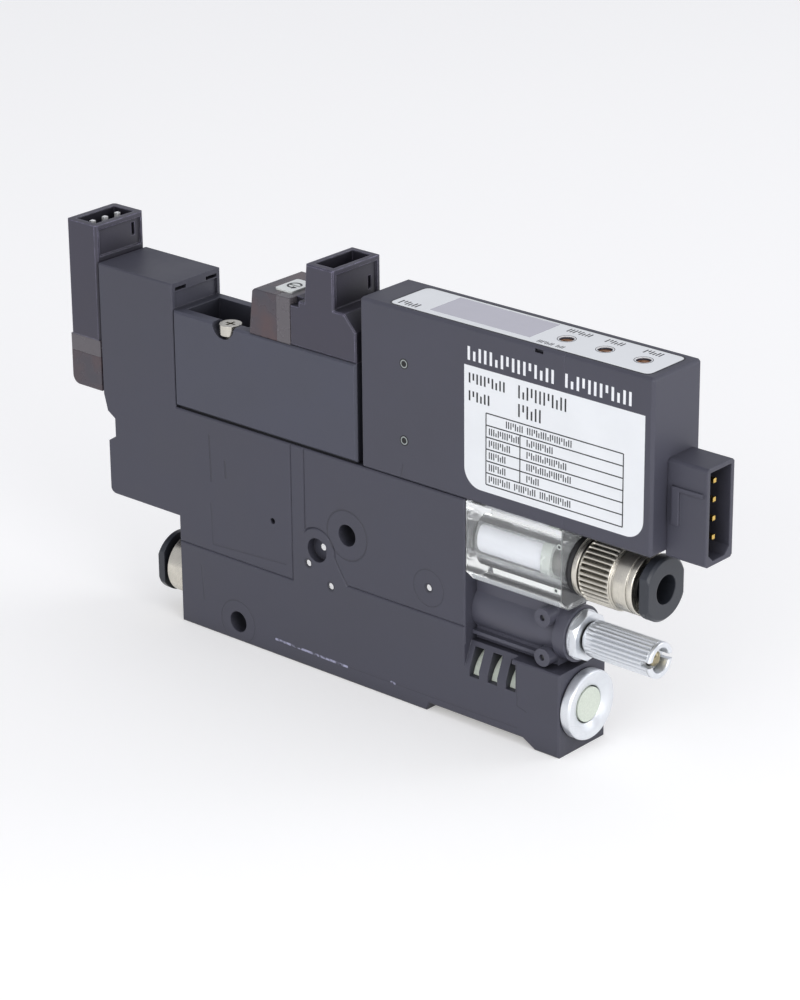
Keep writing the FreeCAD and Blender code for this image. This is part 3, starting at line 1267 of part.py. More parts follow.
def display_window():
    """Tinted display window, stepped to sit in the case's top."""
    step = block([WINDOW_X[0] + WINDOW_EDGE + FIT, WINDOW_X[1] - WINDOW_EDGE - FIT],
                 [WINDOW_Y[0] + WINDOW_EDGE + FIT, WINDOW_Y[1] - WINDOW_EDGE - FIT],
                 [SENSOR_TOP_Z - SENSOR_WALL, SENSOR_TOP_Z - WINDOW_THICK])
    return fuse(window_opening(0), step)


def sensor_board():
    """Circuit board with the display block and the three potentiometer bodies standing on it."""
    top = SENSOR_TOP_Z - BOARD_DROP
    reach = HALF - SENSOR_WALL - 2 * FIT
    board = block((X_SENSOR + BOARD_REAR, X_PLUG - BOARD_FRONT), (-reach, reach), (top - BOARD, top))
    display = block((WINDOW_X[0] + DISPLAY_MARGIN, WINDOW_X[1] - DISPLAY_MARGIN),
                    (WINDOW_Y[0] + DISPLAY_MARGIN, WINDOW_Y[1] - DISPLAY_MARGIN),
                    (top, SENSOR_TOP_Z - SENSOR_WALL))
    length, width, height = TRIMMER_BASE
    bases = [block((x - length / 2, x + length / 2),
                   (TRIMMER_Y - width / 2, TRIMMER_Y + width / 2), (top, top + height)) for x in TRIMMER_X]
    return fuse(board, display, *bases)


def trimmer(number):
    """Brass rotor of one potentiometer, slotted for a screwdriver."""
    x = TRIMMER_X[number]
    low = SENSOR_TOP_Z - BOARD_DROP + TRIMMER_BASE[2]
    top = SENSOR_TOP_Z - TRIMMER_SINK
    length, width, depth = TRIMMER_SLOT
    rotor = rod_z(x, TRIMMER_Y, (low, top), TRIMMER_R)
    return cut(rotor, block((x - length / 2, x + length / 2), (TRIMMER_Y - width / 2, TRIMMER_Y + width / 2),
                            (top - depth, top)))


def pressure_cell():
    """Square can of the pressure cell on the case's floor, over the sensing hole."""
    floor = SPLIT_Z + SENSOR_WALL
    can = block((SENSE_X - CELL_HALF, SENSE_X + CELL_HALF), (-CELL_HALF, CELL_HALF),
                (floor, floor + CELL_HEIGHT))
    return cut(can, rod_z(SENSE_X, 0, (floor, floor + CELL_HEIGHT / 2), SENSE_R))


def plug_pin(number, grow):
    """One square pin of the sensor plug, or the tool for its hole."""
    middle = (PLUG_Y[0] + PLUG_Y[1]) / 2
    z = SPLIT_Z + PLUG_PIN_FIRST + number * PLUG_PIN_PITCH
    half = PLUG_PIN / 2 + grow
    return block((X_PLUG - PLUG_PIN_TAIL, X_PLUG + PLUG_LENGTH - PLUG_PIN_SINK),
                 (middle - half, middle + half), (z - half, z + half))


def sensor_pins():
    """Four gilt pins of the sensor plug."""
    return Part.makeCompound([plug_pin(number, 0) for number in range(PLUG_PINS)])


def sensor_plug():
    """Shell of the sensor plug, with a latch frame on its near side."""
    z = (SPLIT_Z + PLUG_Z[0], SPLIT_Z + PLUG_Z[1])
    end = X_PLUG + PLUG_LENGTH
    body = bevelled_block((X_PLUG, end), PLUG_Y, z, CASE_EDGE, "x")
    cavity = block((X_PLUG + PLUG_BACK, end), (PLUG_Y[0] + PLUG_WALL, PLUG_Y[1] - PLUG_WALL),
                   (z[0] + PLUG_WALL, z[1] - PLUG_WALL))
    corner = [e for e in edges_along(cavity, "x") if abs(e.BoundBox.ZMin - z[0] - PLUG_WALL) < 1e-4]
    cavity = cavity.makeChamfer(PLUG_CHAMFER, corner)
    x0, x1 = [X_PLUG + x for x in LATCH_X]
    z0, z1 = [SPLIT_Z + level for level in LATCH_Z]
    y = (PLUG_Y[0] - LATCH_PROUD, PLUG_Y[0] + CASE_EDGE)
    latch = fuse(block((x0, x1), y, (z1 - LATCH_RAIL, z1)), block((x0, x0 + 2 * LATCH_RAIL), y, (z0, z1)))
    return cut(fuse(body, latch), cavity, *[plug_pin(number, FIT) for number in range(PLUG_PINS)])


supply_ring, supply_collet, supply_seal = release_parts(X_BLOCK - SUPPLY_BARREL, -1, EJECTOR_Z, SUPPLY_RING)
vacuum_ring, vacuum_collet, vacuum_seal = release_parts(vacuum_mouth(), 1, PORT_Z, VACUUM_RING)

PARTS = {
    "ejector_body": ejector_body(),
    "valve_body": valve_body(),
    "vacuum_body": vacuum_body(),
    "cross_pins": cross_pins(),
    "nozzle": nozzle(),
    "diffuser": diffuser(),
    "silencer_element": silencer_element(),
    "silencer_ring": silencer_ring(),
    "supply_fitting": supply_fitting(),
    "supply_release_ring": supply_ring,
    "supply_collet": supply_collet,
    "supply_tube_seal": supply_seal,
    "supply_spool": supply_spool(),
    "supply_end_plug": end_plug(),
    "supply_gasket": supply_gasket(),
    "supply_solenoid_case": supply_case(),
    "supply_clear_band": supply_band(),
    "supply_lamp_cover": supply_lamp(),
    "supply_override": supply_override(),
    "supply_contacts": supply_contacts(),
    "supply_coil": supply_coil(),
    "supply_plunger": supply_plunger(),
    "release_block": release_block(),
    "release_block_screws": block_screws(),
    "release_gasket": block_gasket(),
    "release_solenoid_case": release_case(),
    "release_clear_band": release_band(),
    "release_lamp_cover": release_lamp(),
    "release_override": release_override(),
    "release_contacts": release_contacts(),
    "release_coil": release_coil(),
    "release_plunger": release_plunger(),
    "filter_cover": filter_cover(),
    "filter_element": filter_element(),
    "element_holder": element_holder(),
    "check_valve": check_valve(),
    "vacuum_oring": vacuum_oring(),
    "vacuum_fitting": vacuum_fitting(),
    "vacuum_release_ring": vacuum_ring,
    "vacuum_collet": vacuum_collet,
    "vacuum_tube_seal": vacuum_seal,
    "needle_housing": needle_housing(),
    "needle_bush": needle_bush(),
    "needle_clip": needle_clip(),
    "needle": needle(),
    "needle_knob": needle_knob(),
    "lock_nut": lock_nut(),
    "sensor_case": sensor_case(),
    "sensor_front_cap": sensor_cap(),
    "sensor_top_label": top_label(),
    "sensor_side_label": side_label(),
    "display_window": display_window(),
    "sensor_board": sensor_board(),
    "mode_trimmer": trimmer(0),
    "first_set_trimmer": trimmer(1),
    "second_set_trimmer": trimmer(2),
    "pressure_cell": pressure_cell(),
    "sensor_plug": sensor_plug(),
    "sensor_pins": sensor_pins(),
}

os.makedirs("parts", exist_ok=True)
for name, shape in PARTS.items():
    shape.exportStep(os.path.join("parts", name + ".step"))
    print(name, len(shape.Solids), shape.isValid(), round(shape.Volume, 2))
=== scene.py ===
"""Finishes, fine pieces and studio of the slim vacuum ejector unit.

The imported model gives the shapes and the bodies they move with. This script gives every node a
procedural finish, replaces the pieces that need a finer form, adds the print and the small marks of
the mouldings, and sets up the studio and the camera.

Lengths are millimetres in the model's own frame. They become metres where a mesh is made.
"""
import json
import logging
import math
from dataclasses import dataclass, replace
from enum import Enum
from typing import Iterable, Optional, Sequence, Union

import bmesh
import bpy
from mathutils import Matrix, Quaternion, Vector

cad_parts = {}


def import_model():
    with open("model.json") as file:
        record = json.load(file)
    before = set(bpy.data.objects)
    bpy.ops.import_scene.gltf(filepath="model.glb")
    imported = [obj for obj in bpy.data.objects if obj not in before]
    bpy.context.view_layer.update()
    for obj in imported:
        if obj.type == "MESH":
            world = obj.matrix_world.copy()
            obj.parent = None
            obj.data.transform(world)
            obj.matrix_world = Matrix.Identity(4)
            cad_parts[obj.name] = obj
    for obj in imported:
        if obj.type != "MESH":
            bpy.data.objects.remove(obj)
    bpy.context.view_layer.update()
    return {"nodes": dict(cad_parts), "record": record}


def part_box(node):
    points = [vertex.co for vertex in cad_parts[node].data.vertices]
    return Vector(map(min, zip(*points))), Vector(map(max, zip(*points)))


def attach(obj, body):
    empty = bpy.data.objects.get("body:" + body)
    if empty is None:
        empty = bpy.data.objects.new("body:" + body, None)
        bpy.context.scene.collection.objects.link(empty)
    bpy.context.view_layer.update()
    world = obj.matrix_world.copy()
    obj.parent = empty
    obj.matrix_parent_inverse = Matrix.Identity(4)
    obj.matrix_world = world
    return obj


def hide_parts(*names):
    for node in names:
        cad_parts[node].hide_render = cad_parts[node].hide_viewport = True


LOG = logging.getLogger("ejector")
MM = 0.001

Colour = tuple[float, float, float]
Point2 = tuple[float, float]
Point3 = tuple[float, float, float]
Value = Union[float, Sequence[float], bpy.types.NodeSocket]

# Origin and directions of the model's frame
ORIGIN = (0.0, 0.0, 0.0)
ALONG = (1.0, 0.0, 0.0)
ACROSS = (0.0, 1.0, 0.0)
UPRIGHT = (0.0, 0.0, 1.0)


def display(red: int, green: int, blue: int) -> Colour:
    """Turn display values from 0 to 255 into the linear values that shaders take.

    Args:
        red: Red as seen on a display.
        green: Green as seen on a display.
        blue: Blue as seen on a display.

    Returns:
        The linear colour.
    """
    linear = []
    for value in (red, green, blue):
        share = value / 255
        linear.append(share / 12.92 if share <= 0.04045 else ((share + 0.055) / 1.055) ** 2.4)
    return tuple(linear)


def opaque(colour: Colour) -> tuple[float, float, float, float]:
    """Return the colour with full alpha, as colour sockets take it."""
    return (*colour, 1.0)


# Node graphs

# Sockets of the Mix node that take and give colours
MIX_COLOURS = (6, 7)
MIX_RESULT = 2


class Graph:
    """Short calls that add nodes to a tree and join them."""

    def __init__(self, tree: bpy.types.NodeTree) -> None:
        """Keep the tree that the calls work on."""
        self.tree = tree

    def node(self, kind: str, **settings: object) -> bpy.types.Node:
        """Add a node.

        Args:
            kind: Blender's name of the node type.
            **settings: Properties to set on the node.

        Returns:
            The new node.
        """
        made = self.tree.nodes.new(kind)
        for key, value in settings.items():
            setattr(made, key, value)
        return made

    def feed(self, target: bpy.types.NodeSocket, value: Value) -> None:
        """Link a socket into a target, or set the target's own value.

        Args:
            target: The input to set.
            value: The socket or the value.
        """
        if isinstance(value, bpy.types.NodeSocket):
            self.tree.links.new(value, target)
        else:
            target.default_value = value

    def math(self, operation: str, *values: Value, clamp: bool = False) -> bpy.types.NodeSocket:
        """Work out one number.

        Args:
            operation: Name of the Math node's operation.
            *values: One to three operands.
            clamp: Keep the result between 0 and 1.

        Returns:
            The socket that gives the number.
        """
        made = self.node("ShaderNodeMath", operation=operation, use_clamp=clamp)
        for target, value in zip(made.inputs, values):
            self.feed(target, value)
        return made.outputs[0]

    def vector_node(self, operation: str, values: Sequence[Value]) -> bpy.types.Node:
        """Add a Vector Math node.

        Args:
            operation: Name of the operation.
            values: Its operands.

        Returns:
            The new node.
        """
        made = self.node("ShaderNodeVectorMath", operation=operation)
        for target, value in zip(made.inputs, values):
            self.feed(target, value)
        return made

    def vector(self, operation: str, *values: Value) -> bpy.types.NodeSocket:
        """Return the vector that an operation gives."""
        return self.vector_node(operation, values).outputs["Vector"]

    def measure(self, operation: str, *values: Value) -> bpy.types.NodeSocket:
        """Return the number that an operation on vectors gives, such as a length."""
        return self.vector_node(operation, values).outputs["Value"]

    def scale(self, value: Value, factor: Value) -> bpy.types.NodeSocket:
        """Make a vector longer.

        Args:
            value: The vector.
            factor: How many times longer it gets.

        Returns:
            The socket with the longer vector.
        """
        made = self.vector_node("SCALE", (value,))
        self.feed(made.inputs["Scale"], factor)
        return made.outputs["Vector"]

    def spread(self, value: Value, low: Value, high: Value, to_low: float = 0.0,
               to_high: float = 1.0) -> bpy.types.NodeSocket:
        """Ease a number from one range into another.

        Args:
            value: The number.
            low: Start of its range.
            high: End of its range.
            to_low: Answer at the start.
            to_high: Answer at the end.

        Returns:
            The socket with the answer.
        """
        made = self.node("ShaderNodeMapRange", interpolation_type="SMOOTHSTEP")
        for key, part in (("Value", value), ("From Min", low), ("From Max", high),
                          ("To Min", to_low), ("To Max", to_high)):
            self.feed(made.inputs[key], part)
        return made.outputs["Result"]

    def mix(self, factor: Value, low: Value, high: Value) -> bpy.types.NodeSocket:
        """Mix two colours.

        Args:
            factor: 0 for the first colour and 1 for the second.
            low: First colour.
            high: Second colour.

        Returns:
            The socket with the mixed colour.
        """
        made = self.node("ShaderNodeMix", data_type="RGBA")
        for place, value in zip((0, *MIX_COLOURS), (factor, low, high)):
            self.feed(made.inputs[place], value)
        return made.outputs[MIX_RESULT]

    def noise(self, where: Value, scale: Value, detail: float = 2.0, roughness: float = 0.5,
              ) -> bpy.types.NodeSocket:
        """Return a noise value that varies over the surface.

        Args:
            where: Position.
            scale: Waves per unit of that position.
            detail: Octaves.
            roughness: How strong the finer octaves are.

        Returns:
            The socket with the noise.
        """
        made = self.node("ShaderNodeTexNoise")
        self.feed(made.inputs["Vector"], where)
        self.feed(made.inputs["Scale"], scale)
        self.feed(made.inputs["Detail"], detail)
        self.feed(made.inputs["Roughness"], roughness)
        return made.outputs["Fac"]

    def place(self) -> bpy.types.NodeSocket:
        """Return the surface position in millimetres of the model's frame."""
        return self.scale(self.node("ShaderNodeTexCoord").outputs["Object"], 1 / MM)

    def seen_by(self, first: str, second: str) -> bpy.types.NodeSocket:
        """Return 1 for light rays of two kinds and 0 for the others."""
        path = self.node("ShaderNodeLightPath")
        return self.math("MAXIMUM", path.outputs[first], path.outputs[second])

    def effect(self, tree: bpy.types.NodeTree, **values: Value) -> bpy.types.Node:
        """Add a shared effect.

        Args:
            tree: The effect's node group.
            **values: Its inputs, with _ for a space in a name.

        Returns:
            The group node.
        """
        made = self.node("ShaderNodeGroup")
        made.node_tree = tree
        for key, value in values.items():
            self.feed(made.inputs[key.replace("_", " ")], value)
        return made


# Shared effects

# Range into which most values of a noise fall
MIDDLE = (0.3, 0.7)
# Samples that a bevel or a recess takes
SAMPLES = 6
# Surface at a lower Y than this is the unit's near side
NEAR_LIMIT = -4.8


@dataclass
class Effect:
    """A node group while it is being made.

    Attributes:
        tree: The group.
        graph: Calls that add nodes to it.
        source: Its input node.
        target: Its output node.
    """

    tree: bpy.types.NodeTree
    graph: Graph
    source: bpy.types.Node
    target: bpy.types.Node

    def given(self, name: str) -> bpy.types.NodeSocket:
        """Return the socket of one of the group's inputs."""
        return self.source.outputs[name]

    def answer(self, name: str, value: Value) -> None:
        """Give one of the group's outputs its value."""
        self.graph.feed(self.target.inputs[name], value)

    def waves(self, name: str, count: float = 1.0) -> bpy.types.NodeSocket:
        """Return waves per millimetre, for so many waves in the length of an input."""
        return self.graph.math("DIVIDE", count, self.given(name))


class Effects:
    """The node groups that finishes share, each made at its first use."""

    def __init__(self) -> None:
        """Start with no group made."""
        self.made: dict[str, bpy.types.NodeTree] = {}

    def get(self, name: str) -> bpy.types.NodeTree:
        """Look a group up, and make it if needed.

        Args:
            name: The group's name.

        Returns:
            The group.
        """
        if name not in self.made:
            self.made[name] = getattr(self, "make_" + name)().tree
        return self.made[name]

    @staticmethod
    def begin(name: str, numbers: Iterable[str], vectors: Iterable[str], answers: Iterable[str],
              directions: Iterable[str] = ()) -> Effect:
        """Open a new node group.

        Args:
            name: Name of the group.
            numbers: Names of its number inputs.
            vectors: Names of its vector inputs.
            answers: Names of its number outputs.
            directions: Names of its vector outputs.

        Returns:
            The open group.
        """
        tree = bpy.data.node_groups.new(name, "ShaderNodeTree")
        for keys, way, kind in ((numbers, "INPUT", "Float"), (vectors, "INPUT", "Vector"),
                                (answers, "OUTPUT", "Float"), (directions, "OUTPUT", "Vector")):
            for key in keys:
                tree.interface.new_socket(name=key, in_out=way, socket_type="NodeSocket" + kind)
        graph = Graph(tree)
        return Effect(tree, graph, graph.node("NodeGroupInput"), graph.node("NodeGroupOutput"))

    def make_moulded_grain(self) -> Effect:
        """Make the fine sparked texture of a moulding, with slow patches of tone.

        Returns:
            The finished group.
        """
        effect = self.begin("moulded_grain", ("Size", "Patch"), (), ("Height", "Tone"))
        graph = effect.graph
        place = graph.place()
        coarse_waves = 0.3
        coarse_height = 0.35
        fine = graph.noise(place, effect.waves("Size"), roughness=0.6)
        coarse = graph.noise(place, effect.waves("Size", coarse_waves), detail=1.0)
        effect.answer("Height", graph.math("MULTIPLY_ADD", coarse, coarse_height, fine))
        slow = graph.noise(place, effect.waves("Patch"), detail=3.0, roughness=0.55)
        effect.answer("Tone", graph.spread(slow, *MIDDLE))
        return effect

    def make_broken_edge(self) -> Effect:
        """Make the rounded look of a small edge, and the mask where wear and a painted highlight lighten
        it.

        Returns:
            The finished group.
        """
        effect = self.begin("broken_edge", ("Radius",), (), ("Mask",), ("Normal",))
        graph = effect.graph
        bevel = graph.node("ShaderNodeBevel", samples=SAMPLES)
        graph.feed(bevel.inputs["Radius"], effect.given("Radius"))
        flat = graph.node("ShaderNodeNewGeometry").outputs["Normal"]
        match = graph.measure("DOT_PRODUCT", bevel.outputs[0], flat)
        turn = graph.spread(graph.math("SUBTRACT", 1.0, match), low=0.01, high=0.16)
        uneven = graph.noise(graph.place(), scale=0.9, detail=3.0)
        wear_and_highlight = graph.spread(uneven, low=0.35, high=0.65, to_low=0.35)
        effect.answer("Mask", graph.math("MULTIPLY", turn, wear_and_highlight))
        effect.answer("Normal", bevel.outputs[0])
        return effect

    def make_machined_lines(self) -> Effect:
        """Make the fine circles that a tool leaves round an axis and across an end face.

        Returns:
            The finished group.
        """
        effect = self.begin("machined_lines", ("Pitch",), ("Centre", "Axis"), ("Height", "Tone"))
        graph = effect.graph
        place = graph.place()
        arm = graph.vector("SUBTRACT", place, effect.given("Centre"))
        along = graph.measure("DOT_PRODUCT", arm, effect.given("Axis"))
        onto = graph.scale(effect.given("Axis"), along)
        radius = graph.measure("LENGTH", graph.vector("SUBTRACT", arm, onto))
        lines = graph.node("ShaderNodeTexNoise", noise_dimensions="1D")
        graph.feed(lines.inputs["W"], graph.math("ADD", along, radius))
        graph.feed(lines.inputs["Scale"], effect.waves("Pitch"))
        effect.answer("Height", lines.outputs["Fac"])
        slow = graph.noise(place, scale=0.5)
        blend = graph.math("MULTIPLY_ADD", lines.outputs["Fac"], 0.5, graph.math("MULTIPLY", slow, 0.5))
        effect.answer("Tone", graph.spread(blend, *MIDDLE))
        return effect

    def make_surface_ring(self) -> Effect:
        """Make the mask of a shallow ring or disc in the near side.

        Returns:
            The finished group.
        """
        effect = self.begin("surface_ring", ("Radius", "Width"), ("Centre",), ("Mask",))
        graph = effect.graph
        arm = graph.vector("SUBTRACT", graph.place(), effect.given("Centre"))
        reach = graph.measure("LENGTH", self.flattened(graph, arm))
        off = graph.math("ABSOLUTE", graph.math("SUBTRACT", reach, effect.given("Radius")))
        return self.drawn(effect, off)

    def make_surface_line(self) -> Effect:
        """Make the mask of a straight fine line in the near side.

        Returns:
            The finished group.
        """
        effect = self.begin("surface_line", ("Width",), ("Start", "End"), ("Mask",))
        graph = effect.graph
        place = self.flattened(graph, graph.place())
        run = graph.vector("SUBTRACT", effect.given("End"), effect.given("Start"))
        arm = graph.vector("SUBTRACT", place, effect.given("Start"))
        travelled = graph.measure("DOT_PRODUCT", arm, run)
        whole = graph.measure("DOT_PRODUCT", run, run)
        foot = graph.scale(run, graph.math("DIVIDE", travelled, whole, clamp=True))
        return self.drawn(effect, graph.measure("DISTANCE", arm, foot))

    @staticmethod
    def flattened(graph: Graph, vector: Value) -> bpy.types.NodeSocket:
        """Return a vector without its part across the unit."""
        return graph.vector("MULTIPLY", vector, (1.0, 0.0, 1.0))

    @staticmethod
    def drawn(effect: Effect, off: Value) -> Effect:
        """Give a group the mask of its stroke, on the flat near side of the unit only.

        Args:
            effect: The open group, with the stroke's width among its inputs.
            off: Distance from the middle of the stroke.

        Returns:
            The finished group.
        """
        graph = effect.graph
        stroke = graph.spread(graph.math("DIVIDE", off, effect.given("Width")), *MIDDLE, 1.0, 0.0)
        parts = graph.node("ShaderNodeSeparateXYZ")
        graph.feed(parts.inputs[0], graph.place())
        near = graph.math("LESS_THAN", parts.outputs["Y"], NEAR_LIMIT)
        effect.answer("Mask", graph.math("MULTIPLY", stroke, near))
        return effect

    def make_cavity(self) -> Effect:
        """Make the mask of deep recesses, where little light gets in.

        Returns:
            The finished group.
        """
        effect = self.begin("cavity", ("Distance", "Closed", "Open"), (), ("Mask",))
        graph = effect.graph
        shade = graph.node("ShaderNodeAmbientOcclusion", samples=SAMPLES)
        graph.feed(shade.inputs["Distance"], effect.given("Distance"))
        effect.answer("Mask", graph.spread(shade.outputs["AO"], effect.given("Closed"),
                                           effect.given("Open"), 1.0, 0.0))
        return effect

    def make_pores(self) -> Effect:
        """Make the open grain of sintered or felted filter material.

        Returns:
            The finished group.
        """
        effect = self.begin("pores", ("Size",), (), ("Height", "Hollow"))
        graph = effect.graph
        cells = graph.node("ShaderNodeTexVoronoi", feature="F1")
        graph.feed(cells.inputs["Vector"], graph.place())
        graph.feed(cells.inputs["Scale"], effect.waves("Size"))
        bead = graph.spread(cells.outputs["Distance"], low=0.1, high=0.75, to_low=1.0, to_high=0.0)
        effect.answer("Height", bead)
        effect.answer("Hollow", graph.math("SUBTRACT", 1.0, bead))
        return effect


EFFECTS = Effects()


# Finishes

# Factors on a finish's own colour in a recess with painted shade, in a mark, and along an edge line with
# a painted highlight
DEEP_TONE = 0.12
MARK_TONE = 0.45
HIGHLIGHT_TONE = 7.0


class Marking(Enum):
    """Kinds of shallow mark that a mould leaves in a flat side."""

    RING = "ring"
    LINE = "line"


@dataclass(frozen=True)
class Mark:
    """A shallow mark in the near side.

    Attributes:
        kind: Ring or line.
        start: Centre of a ring, or one end of a line, as (x, z).
        end: Other end of a line.
        radius: Radius of a ring.
        width: Width of the mark.
        strength: How strongly it shows.
    """

    kind: Marking
    start: Point2
    end: Point2 = (0.0, 0.0)
    radius: float = 0.0
    width: float = 0.25
    strength: float = 1.0

    def mask(self, graph: Graph) -> bpy.types.NodeSocket:
        """Return the mark's mask in a material.

        Args:
            graph: The material's graph.

        Returns:
            The socket with the mask.
        """
        first = (self.start[0], 0.0, self.start[1])
        if self.kind is Marking.RING:
            made = graph.effect(EFFECTS.get("surface_ring"), Centre=first, Radius=self.radius,
                                Width=self.width)
        else:
            last = (self.end[0], 0.0, self.end[1])
            made = graph.effect(EFFECTS.get("surface_line"), Start=first, End=last, Width=self.width)
        return graph.math("MULTIPLY", made.outputs["Mask"], self.strength)


@dataclass(frozen=True)
class Finish:
    """What all finishes share.

    Attributes:
        name: Name of the material.
        colour: Its colour.
    """

    name: str
    colour: Colour

    def material(self) -> bpy.types.Material:
        """Look the material up, and make it at the first use.

        Returns:
            The material.
        """
        found = bpy.data.materials.get(self.name)
        if found:
            return found
        made = bpy.data.materials.new(self.name)
        made.use_nodes = True
        graph = Graph(made.node_tree)
        self.paint(graph, made.node_tree.nodes["Principled BSDF"])
        LOG.info("finish %s", self.name)
        return made

    def paint(self, graph: Graph, shader: bpy.types.Node) -> None:
        """Set the shader's sockets. Each finish does this in its own way."""
        raise NotImplementedError

    def tint(self, factor: float = 1.0) -> tuple[float, float, float, float]:
        """Return the colour made lighter or darker, as colour sockets take it."""
        return opaque(tuple(min(1.0, part * factor) for part in self.colour))

    def shaded(self, graph: Graph, body: Value, amount: float, reach: float,
               openness: Point2) -> bpy.types.NodeSocket:
        """Darken the deep recesses with painted shade.

        Args:
            graph: The material's graph.
            body: The colour so far.
            amount: How much darker they are.
            reach: How far off a wall still closes a recess in.
            openness: Openness of the darkest places, and of places that aren't darker.

        Returns:
            The socket with the colour.
        """
        cavity = graph.effect(EFFECTS.get("cavity"), Distance=reach * MM, Closed=openness[0],
                              Open=openness[1])
        deep = graph.math("MULTIPLY", cavity.outputs["Mask"], amount)
        return graph.mix(deep, body, self.tint(DEEP_TONE))

    @staticmethod
    def sheen(graph: Graph, shader: bpy.types.Node, tone: Value, low: float, high: float) -> None:
        """Let the roughness follow a tone, from low where it is 0 to high where it is 1."""
        graph.feed(shader.inputs["Roughness"], graph.spread(tone, 0.0, 1.0, low, high))

    @staticmethod
    def relief(graph: Graph, shader: bpy.types.Node, height: Value, depth: float,
               normal: Optional[Value] = None) -> bpy.types.NodeSocket:
        """Give the shader a bumped surface.

        Args:
            graph: The material's graph.
            shader: The shader.
            height: Height from 0 to 1.
            depth: What a height of 1 stands for.
            normal: A normal to start from.

        Returns:
            The bumped normal.
        """
        bump = graph.node("ShaderNodeBump")
        bump.inputs["Distance"].default_value = depth * MM
        graph.feed(bump.inputs["Height"], height)
        if normal is not None:
            graph.feed(bump.inputs["Normal"], normal)
        graph.feed(shader.inputs["Normal"], bump.outputs[0])
        return bump.outputs[0]


@dataclass(frozen=True)
class MouldedResin(Finish):
    """Filled engineering plastic with a fine sparked surface.

    Attributes:
        roughness: Middle roughness.
        sheens: What the slow patches add to it, at least and at most.
        grain: Size of the texture.
        depth: Depth of the texture.
        patch: Size of the slow patches.
        tones: Shares of the colour between which the patches vary.
        edge: Radius of the broken edges.
        wear_and_highlight: How much lighter edges are, from wear and painted highlight.
        highlight_gain: How many times lighter an edge gets from wear and painted highlight.
        hollow: How much darker the painted shade makes deep recesses.
        reach: How far off a wall still closes a recess in.
        closed: Openness at which a recess is as dark as it gets.
        shut: Openness below which a place counts as a recess.
        gloss: Strength of the surface reflection, where 0.5 is plain plastic.
        marks: Shallow marks in the near side.
        mark_depth: How deep they are.
        mark_shade: How much darker they are.
        edge_highlights: Lines in the near side where a highlight is painted in, lighter along an edge
            line.
    """

    roughness: float = 0.5
    sheens: Point2 = (-0.05, 0.06)
    grain: float = 0.16
    depth: float = 0.012
    patch: float = 9.0
    tones: Point2 = (0.95, 1.05)
    edge: float = 0.14
    wear_and_highlight: float = 0.35
    highlight_gain: float = 2.3
    hollow: float = 0.75
    reach: float = 6.0
    closed: float = 0.15
    shut: float = 0.6
    gloss: float = 0.42
    marks: tuple[Mark, ...] = ()
    mark_depth: float = 0.06
    mark_shade: float = 0.55
    edge_highlights: tuple[Mark, ...] = ()

    def paint(self, graph: Graph, shader: bpy.types.Node) -> None:
        """Set colour, roughness and relief.

        Args:
            graph: The material's graph.
            shader: Its Principled node.
        """
        grain = graph.effect(EFFECTS.get("moulded_grain"), Size=self.grain, Patch=self.patch)
        edge = graph.effect(EFFECTS.get("broken_edge"), Radius=self.edge * MM)
        tone = grain.outputs["Tone"]
        body = graph.mix(tone, self.tint(self.tones[0]), self.tint(self.tones[1]))
        # Edges lightened in colour: wear and a painted highlight
        worn_and_lit = graph.math("MULTIPLY", edge.outputs["Mask"], self.wear_and_highlight)
        body = graph.mix(worn_and_lit, body, self.tint(self.highlight_gain))
        # Painted shade: deep recesses are darkened in colour
        if self.hollow:
            body = self.shaded(graph, body, self.hollow, self.reach, (self.closed, self.shut))
        normal = edge.outputs["Normal"]
        if self.marks:
            total = self.marked(graph)
            sunk = graph.math("MULTIPLY", total, self.mark_shade)
            body = graph.mix(sunk, body, self.tint(MARK_TONE))
            normal = self.relief(graph, shader, graph.math("SUBTRACT", 1.0, total), self.mark_depth,
                                 normal)
        graph.feed(shader.inputs["Base Color"], self.with_highlights(graph, body))
        self.sheen(graph, shader, tone, *(self.roughness + part for part in self.sheens))
        shader.inputs["Specular IOR Level"].default_value = self.gloss
        self.relief(graph, shader, grain.outputs["Height"], self.depth, normal)

    def marked(self, graph: Graph) -> bpy.types.NodeSocket:
        """Join the masks of all marks.

        Args:
            graph: The material's graph.

        Returns:
            The socket with the joined mask.
        """
        total = self.marks[0].mask(graph)
        for mark in self.marks[1:]:
            total = graph.math("MAXIMUM", total, mark.mask(graph))
        return total

    def with_highlights(self, graph: Graph, body: Value) -> Value:
        """Paint the highlights along edge lines lighter, broken up by a noise.

        Args:
            graph: The material's graph.
            body: The colour so far.

        Returns:
            The colour with the scuffs.
        """
        # Painted highlight: lighter colour along the edge lines
        for bright_line in self.edge_highlights:
            uneven = graph.noise(graph.place(), scale=1.1, detail=4.0, roughness=0.6)
            broken = graph.spread(uneven, low=0.36, high=0.56)
            bright_mask = graph.math("MULTIPLY", bright_line.mask(graph), broken)
            body = graph.mix(bright_mask, body, self.tint(HIGHLIGHT_TONE))
        return body


